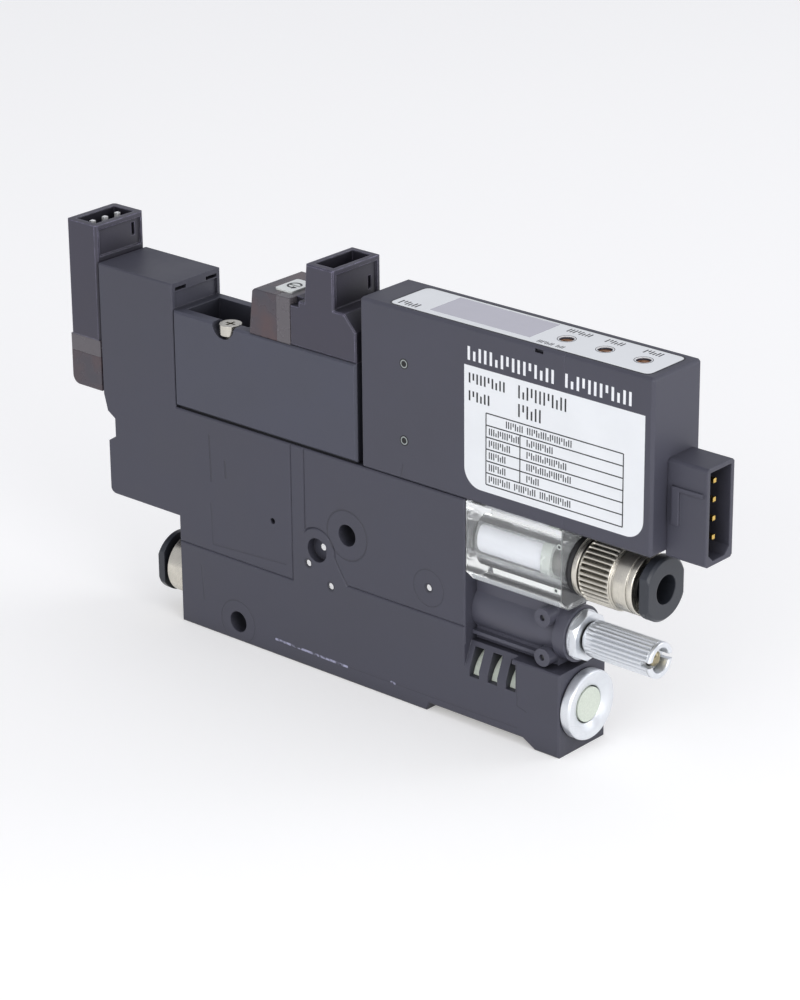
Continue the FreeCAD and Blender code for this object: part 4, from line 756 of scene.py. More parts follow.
@dataclass(frozen=True)
class TurnedMetal(Finish):
    """Turned or plated metal with fine tool circles.

    Attributes:
        roughness: Middle roughness.
        centre: A point on the axis.
        axis: Direction of the axis.
        pitch: Distance between tool marks.
        depth: Depth of the tool marks.
        edge: Radius of the broken edges.
        dulled: How dark the metal is where it is dull.
        sheens: Shares of the roughness where it is dull and where it is bright.
        valley_shade: How much darker the painted shade makes deep valleys.
        reach: How far off a wall still closes a valley in.
        closed: Openness at which a valley is as dark as it gets.
        shut: Openness below which a valley counts as deep.
    """

    roughness: float = 0.22
    centre: Point3 = ORIGIN
    axis: Point3 = ALONG
    pitch: float = 0.12
    depth: float = 0.004
    edge: float = 0.1
    dulled: float = 0.8
    sheens: Point2 = (1.3, 0.8)
    valley_shade: float = 0.0
    reach: float = 0.9
    closed: float = 0.3
    shut: float = 0.85

    def paint(self, graph: Graph, shader: bpy.types.Node) -> None:
        """Set colour, roughness and relief.

        Args:
            graph: The material's graph.
            shader: Its Principled node.
        """
        lines = graph.effect(EFFECTS.get("machined_lines"), Centre=self.centre, Axis=self.axis,
                             Pitch=self.pitch)
        edge = graph.effect(EFFECTS.get("broken_edge"), Radius=self.edge * MM)
        tone = lines.outputs["Tone"]
        metal = graph.mix(tone, self.tint(self.dulled), self.tint())
        # Painted shade: deep valleys are darkened in colour
        if self.valley_shade:
            metal = self.shaded(graph, metal, self.valley_shade, self.reach, (self.closed, self.shut))
        graph.feed(shader.inputs["Base Color"], metal)
        shader.inputs["Metallic"].default_value = 1.0
        self.sheen(graph, shader, tone, *(self.roughness * part for part in self.sheens))
        self.relief(graph, shader, lines.outputs["Height"], self.depth, edge.outputs["Normal"])


@dataclass(frozen=True)
class ClearResin(Finish):
    """Clear or smoky moulding that light passes through.

    Attributes:
        roughness: Middle roughness.
        sheens: Shares of it between which the slow patches vary.
        clear: Share of the light that passes.
        index: Index of refraction.
        edge: Radius of the broken edges.
        ground: Roughness of an edge.
        shadow: Share of the light that it keeps from what lies behind it.
        patch: Tint of its slow patches, or none for a little of its own.
        faded: Share of its own tint that such patches take.
        ripple: Size and depth of the faint waves in its surface.
        cloud: Size of the slow patches.
    """

    roughness: float = 0.05
    sheens: Point2 = (0.7, 1.4)
    clear: float = 1.0
    index: float = 1.49
    edge: float = 0.25
    ground: float = 0.5
    shadow: float = 0.15
    patch: Optional[Colour] = None
    faded: float = 0.97
    ripple: Point2 = (1.4, 0.004)
    cloud: float = 5.0

    def paint(self, graph: Graph, shader: bpy.types.Node) -> None:
        """Set tint, clarity and relief.

        Args:
            graph: The material's graph.
            shader: Its Principled node.
        """
        size, depth = self.ripple
        grain = graph.effect(EFFECTS.get("moulded_grain"), Size=size, Patch=self.cloud)
        edge = graph.effect(EFFECTS.get("broken_edge"), Radius=self.edge * MM)
        tone = grain.outputs["Tone"]
        patch = opaque(self.patch) if self.patch else self.tint(self.faded)
        graph.feed(shader.inputs["Base Color"], graph.mix(tone, patch, self.tint()))
        smooth = graph.spread(tone, 0.0, 1.0, *(self.roughness * part for part in self.sheens))
        frosted = graph.math("MULTIPLY", edge.outputs["Mask"], self.ground)
        graph.feed(shader.inputs["Roughness"], graph.math("MAXIMUM", smooth, frosted))
        shader.inputs["Transmission Weight"].default_value = self.clear
        shader.inputs["IOR"].default_value = self.index
        shading = graph.node("ShaderNodeLightPath").outputs["Is Shadow Ray"]
        graph.feed(shader.inputs["Alpha"], graph.math("MULTIPLY_ADD", shading, self.shadow - 1.0, 1.0))
        self.relief(graph, shader, grain.outputs["Height"], depth, edge.outputs["Normal"])


@dataclass(frozen=True)
class PrintedFilm(Finish):
    """Smooth label film, ink or window lacquer.

    Attributes:
        roughness: Middle roughness.
        coat: Weight of its clear top layer.
        coat_roughness: Roughness of that layer.
        sheens: What the slow patches add to the roughness, at least and at most.
        faded: Share of the colour that such patches take.
        ripple: Size and depth of the faint waves in its surface.
        cloud: Size of the slow patches.
    """

    roughness: float = 0.4
    coat: float = 0.2
    coat_roughness: float = 0.12
    sheens: Point2 = (-0.04, 0.05)
    faded: float = 0.965
    ripple: Point2 = (0.5, 0.002)
    cloud: float = 7.0

    def paint(self, graph: Graph, shader: bpy.types.Node) -> None:
        """Set colour, gloss and a faint waviness.

        Args:
            graph: The material's graph.
            shader: Its Principled node.
        """
        size, depth = self.ripple
        grain = graph.effect(EFFECTS.get("moulded_grain"), Size=size, Patch=self.cloud)
        tone = grain.outputs["Tone"]
        graph.feed(shader.inputs["Base Color"], graph.mix(tone, self.tint(self.faded), self.tint()))
        self.sheen(graph, shader, tone, *(self.roughness + part for part in self.sheens))
        shader.inputs["Coat Weight"].default_value = self.coat
        shader.inputs["Coat Roughness"].default_value = self.coat_roughness
        self.relief(graph, shader, grain.outputs["Height"], depth)


@dataclass(frozen=True)
class PorousResin(Finish):
    """Sintered or felted filter material.

    Attributes:
        size: Size of a pore.
        depth: Depth of the pores.
        shade: How dark the hollows are.
        sheens: Roughness on the beads and in the hollows.
        glow: Share of the light that spreads below the surface.
        spread: How far that light gets.
    """

    size: float = 0.3
    depth: float = 0.06
    shade: float = 0.8
    sheens: Point2 = (0.7, 0.95)
    glow: float = 0.25
    spread: float = 0.6

    def paint(self, graph: Graph, shader: bpy.types.Node) -> None:
        """Set colour, roughness and the open grain.

        Args:
            graph: The material's graph.
            shader: Its Principled node.
        """
        pores = graph.effect(EFFECTS.get("pores"), Size=self.size)
        hollow = pores.outputs["Hollow"]
        graph.feed(shader.inputs["Base Color"], graph.mix(hollow, self.tint(), self.tint(self.shade)))
        self.sheen(graph, shader, hollow, *self.sheens)
        shader.inputs["Subsurface Weight"].default_value = self.glow
        shader.inputs["Subsurface Radius"].default_value = (self.spread * MM,) * 3
        self.relief(graph, shader, pores.outputs["Height"], self.depth)


# Colours of the real pieces, less the light that a glossy surface adds
SLATE = display(67, 67, 78)
SLATE_LIGHT = display(70, 71, 83)
SLATE_DARK = display(60, 58, 70)
HOUSING_GREY = display(75, 75, 86)
RING_GREY = display(48, 51, 58)
LAMP_SMOKE = display(68, 66, 75)
LAMP_BROWN = display(84, 66, 69)
BAND_SMOKE = display(108, 103, 108)
CLEAR = display(250, 252, 252)
MILK = display(232, 238, 232)
WHITE_PLASTIC = display(232, 235, 232)
FILTER_WHITE = display(230, 230, 237)
FELT_GREEN = display(213, 220, 207)
LABEL_WHITE = display(232, 234, 236)
WINDOW_GREY = display(186, 184, 195)
INK = display(26, 26, 32)
WHITE_INK = display(236, 237, 240)
RIB_WHITE = display(232, 236, 238)
# Painted shade: dark film in the middles of the cover's pips, where holes are
PIP_HOLE_SHADE = display(58, 60, 64)
RIM_GREY = display(146, 152, 150)
# Dark film in the ring round the sensor spots' rims and in their middles, where it is painted shade of
# the holes
CORE_BLACK = display(8, 8, 10)
NICKEL = display(225, 220, 208)
ALUMINIUM = display(236, 239, 243)
BRASS = display(196, 168, 112)
TRIMMER_BRASS = display(186, 142, 112)
GOLD = display(232, 196, 110)
TIN = display(250, 250, 250)
COPPER = display(190, 120, 84)
PIN_STEEL = display(240, 240, 240)
NEEDLE_STEEL = display(168, 158, 130)
CLIP_STEEL = display(120, 120, 122)
SCREW_STEEL = display(214, 210, 200)
RUBBER_BLACK = display(34, 34, 36)
BOARD_GREEN = display(36, 92, 62)
BLACK = (0.0, 0.0, 0.0)

# Axes of the turned pieces
PORT_HEIGHT = 27.05
NEEDLE_HEIGHT = 16.7
EJECTOR_HEIGHT = 6.7
PORT_AXIS = (0.0, 0.0, PORT_HEIGHT)
NEEDLE_AXIS = (0.0, 0.0, NEEDLE_HEIGHT)
EJECTOR_AXIS = (0.0, 0.0, EJECTOR_HEIGHT)
PLUG_AXIS = (0.0, 0.0, 40.0)
SCREW_AXIS = (-25.35, -3.35, 0.0)

# Places in the near side that marks stand round
FRONT_HOLE = (-2.45, 22.3)
REAR_HOLE = (-23.85, 3.0)
LONE_PIN = (12.45, 18.6)
PAIR_PINS = ((-9.85, 16.1), (-5.65, 13.7))


def traced(*points: Point2, width: float, strength: float) -> tuple[Mark, ...]:
    """Return the line marks that join points in order."""
    return tuple(Mark(Marking.LINE, start, end, width=width, strength=strength)
                 for start, end in zip(points, points[1:]))


BODY_MARKS = (
    Mark(Marking.RING, FRONT_HOLE, radius=3.7, width=0.22, strength=0.9),
    Mark(Marking.RING, REAR_HOLE, radius=3.3, width=0.2, strength=0.6),
    Mark(Marking.RING, LONE_PIN, radius=2.7, width=0.18, strength=0.6),
    *(Mark(Marking.RING, pin, radius=0.64, width=0.22) for pin in (*PAIR_PINS, LONE_PIN)),
    *traced((-31.0, 10.0), (-30.6, 4.7), width=0.2, strength=0.6),
    *traced((27.9, 11.9), (28.1, 5.7), (29.75, 5.25), width=0.2, strength=0.6),
    *traced((-16.4, 2.2), (28.2, 2.4), width=0.18, strength=0.4),
)
# Painted highlight along the edge line near the foot of the near side
BODY_EDGE_HIGHLIGHTS = (
    *traced((-16.4, 2.45), (-2.8, 2.2), width=0.34, strength=0.9),
    *traced((5.5, 2.35), (6.1, 2.3), width=0.34, strength=0.9),
)
VALVE_MARKS = (
    *traced((-28.7, 30.7), (-28.5, 23.7), width=0.3, strength=0.8),
    *traced((-25.7, 27.4), (-25.6, 25.0), width=0.36, strength=0.8),
    *traced((-28.67, 20.3), (-28.45, 13.9), (-14.1, 14.7), width=0.22, strength=0.55),
)
SENSOR_MARKS = traced((8.0, 35.6), (7.5, 33.4), width=0.24, strength=0.6)

# Films of the print and of the small marks, which no slot of the record holds
INK_FILM = PrintedFilm("finish_ink", INK, 0.5, 0.1)
WHITE_INK_FILM = PrintedFilm("finish_white_ink", WHITE_INK, 0.5, 0.1)
RIB_FILM = PrintedFilm("finish_rib", RIB_WHITE, 0.35, 0.4)
# Dark film of painted shade in the pips' middles
PIP_SHADE_FILM = PrintedFilm("finish_pip", PIP_HOLE_SHADE, 0.4)
RIM_FILM = PrintedFilm("finish_spot_rim", RIM_GREY, 0.4)
# Dark film round the spots' rims and in their middles, painted shade of the holes
CORE_FILM = PrintedFilm("finish_spot_core", CORE_BLACK, 0.6, 0.0)


def finish_table() -> dict[str, Finish]:
    """List the finishes.

    Returns:
        The finish of each material slot of the record.
    """
    return {
        "body_plastic": MouldedResin("finish_body", SLATE, marks=BODY_MARKS, edge_highlights=BODY_EDGE_HIGHLIGHTS),
        "valve_plastic": MouldedResin("finish_valve", SLATE, marks=VALVE_MARKS),
        "block_plastic": MouldedResin("finish_block", SLATE_LIGHT, edge=0.2, reach=8.0, shut=0.82,
                                      closed=0.55, highlight_gain=3.5),
        "solenoid_plastic": MouldedResin("finish_solenoid", SLATE_DARK, roughness=0.42, edge=0.34,
                                         wear_and_highlight=0.9, reach=9.0, shut=0.82, closed=0.55, highlight_gain=6.0),
        "housing_plastic": MouldedResin("finish_housing", HOUSING_GREY, roughness=0.4, hollow=0.15),
        "sensor_plastic": MouldedResin("finish_sensor", SLATE, roughness=0.46, edge=0.3,
                                       marks=SENSOR_MARKS),
        "ring_plastic": MouldedResin("finish_release_ring", RING_GREY, roughness=0.36, edge=0.25),
        "lamp_smoke": ClearResin("finish_lamp", LAMP_SMOKE, 0.22, clear=0.12, patch=LAMP_BROWN),
        "band_clear": ClearResin("finish_band", BAND_SMOKE, 0.24, clear=0.3),
        "override_white": MouldedResin("finish_override", WHITE_PLASTIC, roughness=0.4, wear_and_highlight=0.0),
        "white_resin": MouldedResin("finish_white", WHITE_PLASTIC, roughness=0.34, wear_and_highlight=0.0,
                                    hollow=0.3),
        "clear_resin": ClearResin("finish_clear", CLEAR, 0.03, clear=0.92, index=1.43, edge=0.35,
                                  ground=0.9, shadow=0.05),
        "milky_resin": ClearResin("finish_milky", MILK, 0.3, clear=0.35),
        "filter_white": PorousResin("finish_filter", FILTER_WHITE, 0.14, 0.008, 0.97),
        "silencer_felt": PorousResin("finish_silencer", FELT_GREEN, 0.34, 0.03, 0.94),
        "label_white": PrintedFilm("finish_label", LABEL_WHITE, 0.42, 0.15),
        "window_tint": PrintedFilm("finish_window", WINDOW_GREY, 0.2, 0.6),
        "nickel": TurnedMetal("finish_nickel", NICKEL, 0.3, PORT_AXIS, valley_shade=0.95),
        "aluminium": TurnedMetal("finish_aluminium", ALUMINIUM, 0.42, NEEDLE_AXIS, pitch=0.08,
                                 dulled=0.9, valley_shade=0.85, shut=0.68),
        "brass": TurnedMetal("finish_brass", BRASS, 0.28, EJECTOR_AXIS),
        "trimmer_brass": TurnedMetal("finish_trimmer", TRIMMER_BRASS, 0.5, ORIGIN, UPRIGHT),
        "gold": TurnedMetal("finish_gold", GOLD, 0.22, PLUG_AXIS),
        "tin_pins": TurnedMetal("finish_tin", TIN, 0.6, ORIGIN, UPRIGHT),
        "copper": TurnedMetal("finish_copper", COPPER, 0.4),
        "pin_steel": TurnedMetal("finish_pins", PIN_STEEL, 0.28, ORIGIN, ACROSS),
        "needle_steel": TurnedMetal("finish_needle", NEEDLE_STEEL, 0.24, NEEDLE_AXIS, pitch=0.1),
        "spring_steel": TurnedMetal("finish_clip", CLIP_STEEL, 0.35, NEEDLE_AXIS),
        "screw_steel": TurnedMetal("finish_screw", SCREW_STEEL, 0.22, SCREW_AXIS, UPRIGHT),
        "rubber": MouldedResin("finish_rubber", RUBBER_BLACK, roughness=0.6, wear_and_highlight=0.2),
        "board": MouldedResin("finish_board", BOARD_GREEN, roughness=0.35, wear_and_highlight=0.0),
    }


# Meshes

# Vertices that are this near, in millimetres, become one
MERGE = 1e-5
# Most of a side that a rounding at one of its ends takes
SIDE_SHARE = 0.45
# Thickness of printed ink, in millimetres
INK_THICKNESS = 0.02


def settle(name: str, mesh: bmesh.types.BMesh, finish: Finish, body: str,
           crease: float = 35.0) -> bpy.types.Object:
    """Turn a mesh in millimetres into a piece that rides on a body.

    Args:
        name: Name of the piece.
        mesh: Its shape. It is freed here.
        finish: Its finish.
        body: The body that carries it.
        crease: Angle above which an edge stays sharp.

    Returns:
        The new object.
    """
    bmesh.ops.remove_doubles(mesh, verts=mesh.verts, dist=MERGE)
    bmesh.ops.recalc_face_normals(mesh, faces=mesh.faces)
    bmesh.ops.scale(mesh, vec=(MM, MM, MM), verts=mesh.verts)
    data = bpy.data.meshes.new(name)
    mesh.to_mesh(data)
    mesh.free()
    data.shade_smooth()
    data.set_sharp_from_angle(angle=math.radians(crease))
    piece = bpy.data.objects.new(name, data)
    bpy.context.scene.collection.objects.link(piece)
    data.materials.append(finish.material())
    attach(piece, body)
    LOG.info("piece %s: %d faces on %s", name, len(data.polygons), body)
    return piece


def softened(outline: Sequence[Point2], radius: float, bends: int = 4) -> list[Point2]:
    """Round the corners of a closed outline.

    Args:
        outline: Corners in order.
        radius: How far a rounding reaches along each side.
        bends: Segments of each rounding.

    Returns:
        The outline with rounded corners.
    """
    rounded = []
    for index, corner in enumerate(outline):
        here = Vector(corner)
        before = Vector(outline[index - 1]) - here
        after = Vector(outline[(index + 1) % len(outline)]) - here
        reach = min(radius, before.length * SIDE_SHARE, after.length * SIDE_SHARE)
        first = here + before.normalized() * reach
        last = here + after.normalized() * reach
        for step in range(bends + 1):
            share = step / bends
            point = first * (1 - share) ** 2 + here * 2 * share * (1 - share) + last * share ** 2
            rounded.append((point.x, point.y))
    return rounded


def carved(shape: bmesh.types.BMesh, low: Point3, high: Point3) -> bmesh.types.BMesh:
    """Cut a box out of a shape.

    Args:
        shape: The shape, in millimetres. It is freed here.
        low: Lowest corner of the box.
        high: Highest corner of the box.

    Returns:
        What is left of the shape.
    """
    box = bmesh.new()
    bmesh.ops.create_cube(box, size=1.0)
    for corner in box.verts:
        corner.co = [start + (end - start) * (part + 0.5)
                     for start, end, part in zip(low, high, corner.co)]
    holders = []
    for mesh in (shape, box):
        bmesh.ops.recalc_face_normals(mesh, faces=mesh.faces)
        data = bpy.data.meshes.new("carving")
        mesh.to_mesh(data)
        mesh.free()
        holder = bpy.data.objects.new("carving", data)
        bpy.context.scene.collection.objects.link(holder)
        holders.append(holder)
    cut = holders[0].modifiers.new("cut", "BOOLEAN")
    cut.operation = "DIFFERENCE"
    cut.solver = "EXACT"
    cut.object = holders[1]
    left = bmesh.new()
    left.from_object(holders[0], bpy.context.evaluated_depsgraph_get())
    for holder in holders:
        bpy.data.meshes.remove(holder.data)
    return left


def join_rings(shape: bmesh.types.BMesh, first: Sequence[bmesh.types.BMVert],
               second: Sequence[bmesh.types.BMVert]) -> None:
    """Join two closed rows of as many vertices with faces.

    Args:
        shape: The mesh that holds them.
        first: One row.
        second: The other row.
    """
    for index, vertex in enumerate(first):
        after = (index + 1) % len(first)
        shape.faces.new((vertex, first[after], second[after], second[index]))


@dataclass(frozen=True)
class Ridges:
    """Ridges along the axis of a turned piece.

    Attributes:
        count: How many there are.
        depth: How deep the valleys are.
        start: Where they begin along the axis.
        end: Where they end.
        above: Only surface farther out than this is ridged.
        sharpness: 1 for a wave, less for wide valleys, more for narrow ones.
    """

    count: int
    depth: float
    start: float
    end: float
    above: float
    sharpness: float

    def sink(self, along: float, radius: float, angle: float) -> float:
        """Work out how far the surface is sunk at a place.

        Args:
            along: Place along the axis.
            radius: Distance from the axis.
            angle: Angle round the axis, in radians.

        Returns:
            The depth there.
        """
        if radius < self.above or not self.start <= along <= self.end:
            return 0.0
        wave = 0.5 - 0.5 * math.cos(self.count * angle)
        return self.depth * wave ** self.sharpness


@dataclass
class Turning:
    """A solid turned about a line along X.

    Attributes:
        section: Closed outline as (along, radius) pairs.
        height: Height of the line.
        steps: Segments round the line.
        ridges: Ridges on it, if any.
    """

    section: Sequence[Point2]
    height: float
    steps: int = 96
    ridges: Optional[Ridges] = None

    def mesh(self) -> bmesh.types.BMesh:
        """Make the turned shape.

        Returns:
            The shape, in millimetres.
        """
        shape = bmesh.new()
        rings = []
        for along, radius in self.section:
            rings.append([shape.verts.new(self.point(along, radius, step))
                          for step in range(self.steps)])
        for index, ring in enumerate(rings):
            join_rings(shape, ring, rings[(index + 1) % len(rings)])
        return shape

    def point(self, along: float, radius: float, step: int) -> Point3:
        """Work out one vertex of the turned shape.

        Args:
            along: Its place along the axis.
            radius: Its distance from the axis where no ridge sinks it.
            step: Its number round the axis.

        Returns:
            The vertex's place.
        """
        angle = 2 * math.pi * step / self.steps
        if self.ridges:
            radius -= self.ridges.sink(along, radius, angle)
        return (along, radius * math.sin(angle), self.height + radius * math.cos(angle))


def stations(start: float, end: float, count: int) -> list[float]:
    """Return evenly spaced places from start to end."""
    return [start + (end - start) * index / count for index in range(count + 1)]


def on_circle(centre: Point2, radius: float, turn: float) -> Point2:
    """Return the point of a circle at an angle in radians."""
    return (centre[0] + radius * math.cos(turn), centre[1] + radius * math.sin(turn))


def circle(centre: Point2, radius: float, steps: int) -> list[Point2]:
    """Return the outline of a circle."""
    return [on_circle(centre, radius, 2 * math.pi * step / steps) for step in range(steps)]


def rectangle(left: float, low: float, width: float, height: float) -> list[Point2]:
    """Return the four corners of a rectangle."""
    return [(left, low), (left + width, low), (left + width, low + height), (left, low + height)]


# Pitch and stroke of a row of strokes that names none, as shares of its height
ROW_PITCH = 0.8
ROW_STROKE = 0.17
# Heights of the second stroke of a pair, and how many of them it moves on from pair to pair
SECOND_HEIGHTS = (0.55, 1.0, 0.7)
HEIGHT_TURN = 5
# Place of that stroke, and the gap after a word, as shares of the pitch
SECOND_PLACE = 0.6
WORD_GAP = 0.7


@dataclass(frozen=True)
class Row:
    """A row of upright strokes that stand for words and say nothing.

    Attributes:
        left: Where the first word starts.
        low: Foot of the row.
        height: Height of a full stroke.
        letters: How many pairs of strokes each word has.
        pitch: Distance from pair to pair, or 0 for one that suits the height.
        stroke: Width of a stroke, or 0 for one that suits the height.
    """

    left: float
    low: float
    height: float
    letters: tuple[int, ...]
    pitch: float = 0.0
    stroke: float = 0.0


class Print:
    """Flat ink shapes on one face, gathered into one thin piece."""

    def __init__(self, origin: Point3, right: Point3, up: Point3,
                 thickness: float = INK_THICKNESS) -> None:
        """Set the face.

        Args:
            origin: A point of the face, in millimetres.
            right: Direction in which x grows.
            up: Direction in which y grows.
            thickness: Thickness of the ink.
        """
        self.origin = Vector(origin)
        self.right = Vector(right)
        self.up = Vector(up)
        self.out = self.right.cross(self.up) * thickness
        self.mesh = bmesh.new()

    def spots(self, outline: Sequence[Point2], lift: float) -> list[bmesh.types.BMVert]:
        """Return new vertices of an outline, on the face at lift 0 and on top of the ink at 1."""
        return [self.mesh.verts.new(self.origin + self.right * x + self.up * y + self.out * lift)
                for x, y in outline]

    def loop(self, outer: Sequence[Point2], inner: Optional[Sequence[Point2]] = None) -> None:
        """Add a flat shape, or the band between two outlines of as many points.

        Args:
            outer: Outline.
            inner: Outline of the hole, if any.
        """
        top = self.spots(outer, 1.0)
        foot = self.spots(outer, 0.0)
        if inner is None:
            self.mesh.faces.new(top)
        else:
            join_rings(self.mesh, top, self.spots(inner, 1.0))
        join_rings(self.mesh, foot, top)

    def bar(self, left: float, low: float, width: float, height: float) -> None:
        """Add a filled rectangle."""
        self.loop(rectangle(left, low, width, height))

    def disc(self, centre: Point2, radius: float, hollow: float = 0.0, steps: int = 36) -> None:
        """Add a disc or a ring."""
        self.loop(circle(centre, radius, steps), circle(centre, hollow, steps) if hollow else None)

    def frame(self, low: Point2, high: Point2, corner: float, line: float, bends: int = 8) -> None:
        """Add the outline of a panel with rounded corners.

        Args:
            low: Lower left corner.
            high: Upper right corner.
            corner: Radius of the corners.
            line: Width of the outline.
            bends: Segments of a corner.
        """
        width = high[0] - low[0]
        height = high[1] - low[1]
        outer = rectangle(*low, width, height)
        inner = rectangle(low[0] + line, low[1] + line, width - 2 * line, height - 2 * line)
        self.loop(softened(outer, corner, bends), softened(inner, corner - line, bends))

    def arc(self, orbit: float, line: float, sweep: Point2, steps: int = 24) -> None:
        """Add part of a ring round the origin.

        Args:
            orbit: Radius of its middle line.
            line: Its width.
            sweep: Where it starts and ends, in degrees.
            steps: Segments.
        """
        turns = [math.radians(angle) for angle in stations(*sweep, steps)]
        outer = orbit + line / 2
        inner = orbit - line / 2
        for first, last in zip(turns, turns[1:]):
            corners = ((inner, first), (outer, first), (outer, last), (inner, last))
            self.loop([on_circle((0.0, 0.0), radius, turn) for radius, turn in corners])

    def words(self, row: Row) -> None:
        """Add a row of strokes.

        Args:
            row: Where it stands and what it holds.
        """
        step = row.pitch or row.height * ROW_PITCH
        wide = row.stroke or row.height * ROW_STROKE
        place = row.left
        for count in row.letters:
            for index in range(count):
                share = SECOND_HEIGHTS[(index * HEIGHT_TURN + count) % len(SECOND_HEIGHTS)]
                short = row.height * share
                lift = (row.height - short) * ((index + count) % 2)
                self.bar(place, row.low, wide, row.height)
                self.bar(place + step * SECOND_PLACE - wide / 2, row.low + lift, wide, short)
                place += step
            place += step * WORD_GAP

    def piece(self, name: str, finish: Finish, body: str, slot: str) -> bpy.types.Object:
        """Turn the layer into a piece that rides on a body."""
        return settle(name, self.mesh, finish, body)


def near_layer(near: float, thickness: float = INK_THICKNESS) -> Print:
    """Return an empty layer on a near side."""
    return Print((0.0, near, 0.0), ALONG, UPRIGHT, thickness)


def top_layer(origin: Point3) -> Print:
    """Return an empty layer on a top face."""
    return Print(origin, ALONG, ACROSS)


# The unit's sub-assemblies

@dataclass
class NodeDresser:
    """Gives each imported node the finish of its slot.

    Attributes:
        nodes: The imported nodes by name.
        slots: The material slot of each node.
        finishes: The finish of each slot.
    """

    nodes: dict[str, bpy.types.Object]
    slots: dict[str, str]
    finishes: dict[str, Finish]

    def dress(self) -> None:
        """Set the finish of every node."""
        for name, node in self.nodes.items():
            finish = self.finishes[self.slots[name]]
            for place in node.material_slots:
                place.material = finish.material()
            LOG.info("node %s wears %s", name, finish.name)


@dataclass
class Assembly:
    """A sub-assembly that makes its own fine pieces.

    Attributes:
        finishes: The finish of each material slot.
    """

    finishes: dict[str, Finish]

    def build(self) -> None:
        """Make the pieces. Each sub-assembly does this in its own way."""
        raise NotImplementedError


@dataclass
class VacuumPort(Assembly):
    """Knurled nickel fitting with its O-ring.

    Attributes:
        height: Height of the axis.
        bore: Radius of the bore.
        stem: Radius and start of the stem that goes into the cover.
        flange: Radius, start and end of the flange.
        neck: Radius of the neck between flange and knurl.
        knurl: Radius, start and end of the knurl.
        knurl_parts: How many lengths the knurl is cut into.
        barrel: Radius and end of the smooth barrel.
        seat: Radius and start of the seat for the release ring.
        lines: Starts of the fine grooves in the barrel.
        line: Width and depth of a fine groove.
        ridges: Number of ridges in the knurl.
        ridge_depth: Depth of the valleys between them.
        ridge_margin: Distance from the ridges to the knurl's ends.
        ridge_foot: Only surface so far outside the barrel is ridged.
        sharpness: Sharpness of the ridges.
        ridge_steps: Segments of a ridge.
        rounding: Reach and segments of a rounded edge.
        ring_start: Where the O-ring starts.
        ring_reach: Outer radius of the O-ring.
        ring_steps: Segments of the O-ring's section.
    """

    height: float = PORT_HEIGHT
    bore: float = 1.6
    stem: Point2 = (3.2, 32.8)
    flange: Point3 = (4.3, 36.5, 37.4)
    neck: float = 3.9
    knurl: Point3 = (4.6, 38.0, 42.9)
    knurl_parts: int = 6
    barrel: Point2 = (4.35, 46.5)
    seat: Point2 = (3.0, 40.1)
    lines: Point2 = (43.15, 45.5)
    line: Point2 = (0.28, 0.16)
    ridges: int = 36
    ridge_depth: float = 0.5
    ridge_margin: float = 0.12
    ridge_foot: float = 0.05
    sharpness: float = 1.5
    ridge_steps: int = 10
    rounding: tuple[float, int] = (0.14, 3)
    ring_start: float = 35.4
    ring_reach: float = 4.3
    ring_steps: int = 20

    def build(self) -> None:
        """Make the fitting and the O-ring."""
        self.fitting()
        self.o_ring()

    def outline(self) -> list[Point2]:
        """Draw half of the fitting's section.

        Returns:
            The outline as (along, radius) pairs.
        """
        stem_r, stem_start = self.stem
        flange_r, flange_start, flange_end = self.flange
        knurl_r, knurl_start, knurl_end = self.knurl
        barrel_r, mouth = self.barrel
        seat_r, seat_start = self.seat
        width, depth = self.line
        outline = [(stem_start, stem_r), (flange_start, stem_r), (flange_start, flange_r),
                   (flange_end, flange_r), (flange_end, self.neck), (knurl_start, self.neck)]
        outline += [(along, knurl_r) for along in stations(knurl_start, knurl_end, self.knurl_parts)]
        outline.append((knurl_end, barrel_r))
        for start in self.lines:
            outline += [(start, barrel_r), (start, barrel_r - depth), (start + width, barrel_r - depth),
                        (start + width, barrel_r)]
        outline += [(mouth, barrel_r), (mouth, seat_r), (seat_start, seat_r), (seat_start, self.bore),
                    (stem_start, self.bore)]
        return outline

    def fitting(self) -> None:
        """Make the fitting with its fine ridges."""
        start, end = self.knurl[1:]
        knurling = Ridges(self.ridges, self.ridge_depth, start + self.ridge_margin,
                          end - self.ridge_margin, self.barrel[0] + self.ridge_foot, self.sharpness)
        turning = Turning(softened(self.outline(), *self.rounding), self.height,
                          self.ridges * self.ridge_steps, knurling)
        piece = settle("vacuum_fitting_fine", turning.mesh(), self.finishes["nickel"], "unit",
                       crease=40.0)
        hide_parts("vacuum_fitting")

    def o_ring(self) -> None:
        """Make the round O-ring between cover and fitting."""
        wire = (self.flange[1] - self.ring_start) / 2
        section = circle((self.ring_start + wire, self.ring_reach - wire), wire, self.ring_steps)
        piece = settle("vacuum_oring_round", Turning(section, self.height).mesh(),
                       self.finishes["rubber"], "unit", crease=60.0)
        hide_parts("vacuum_oring")


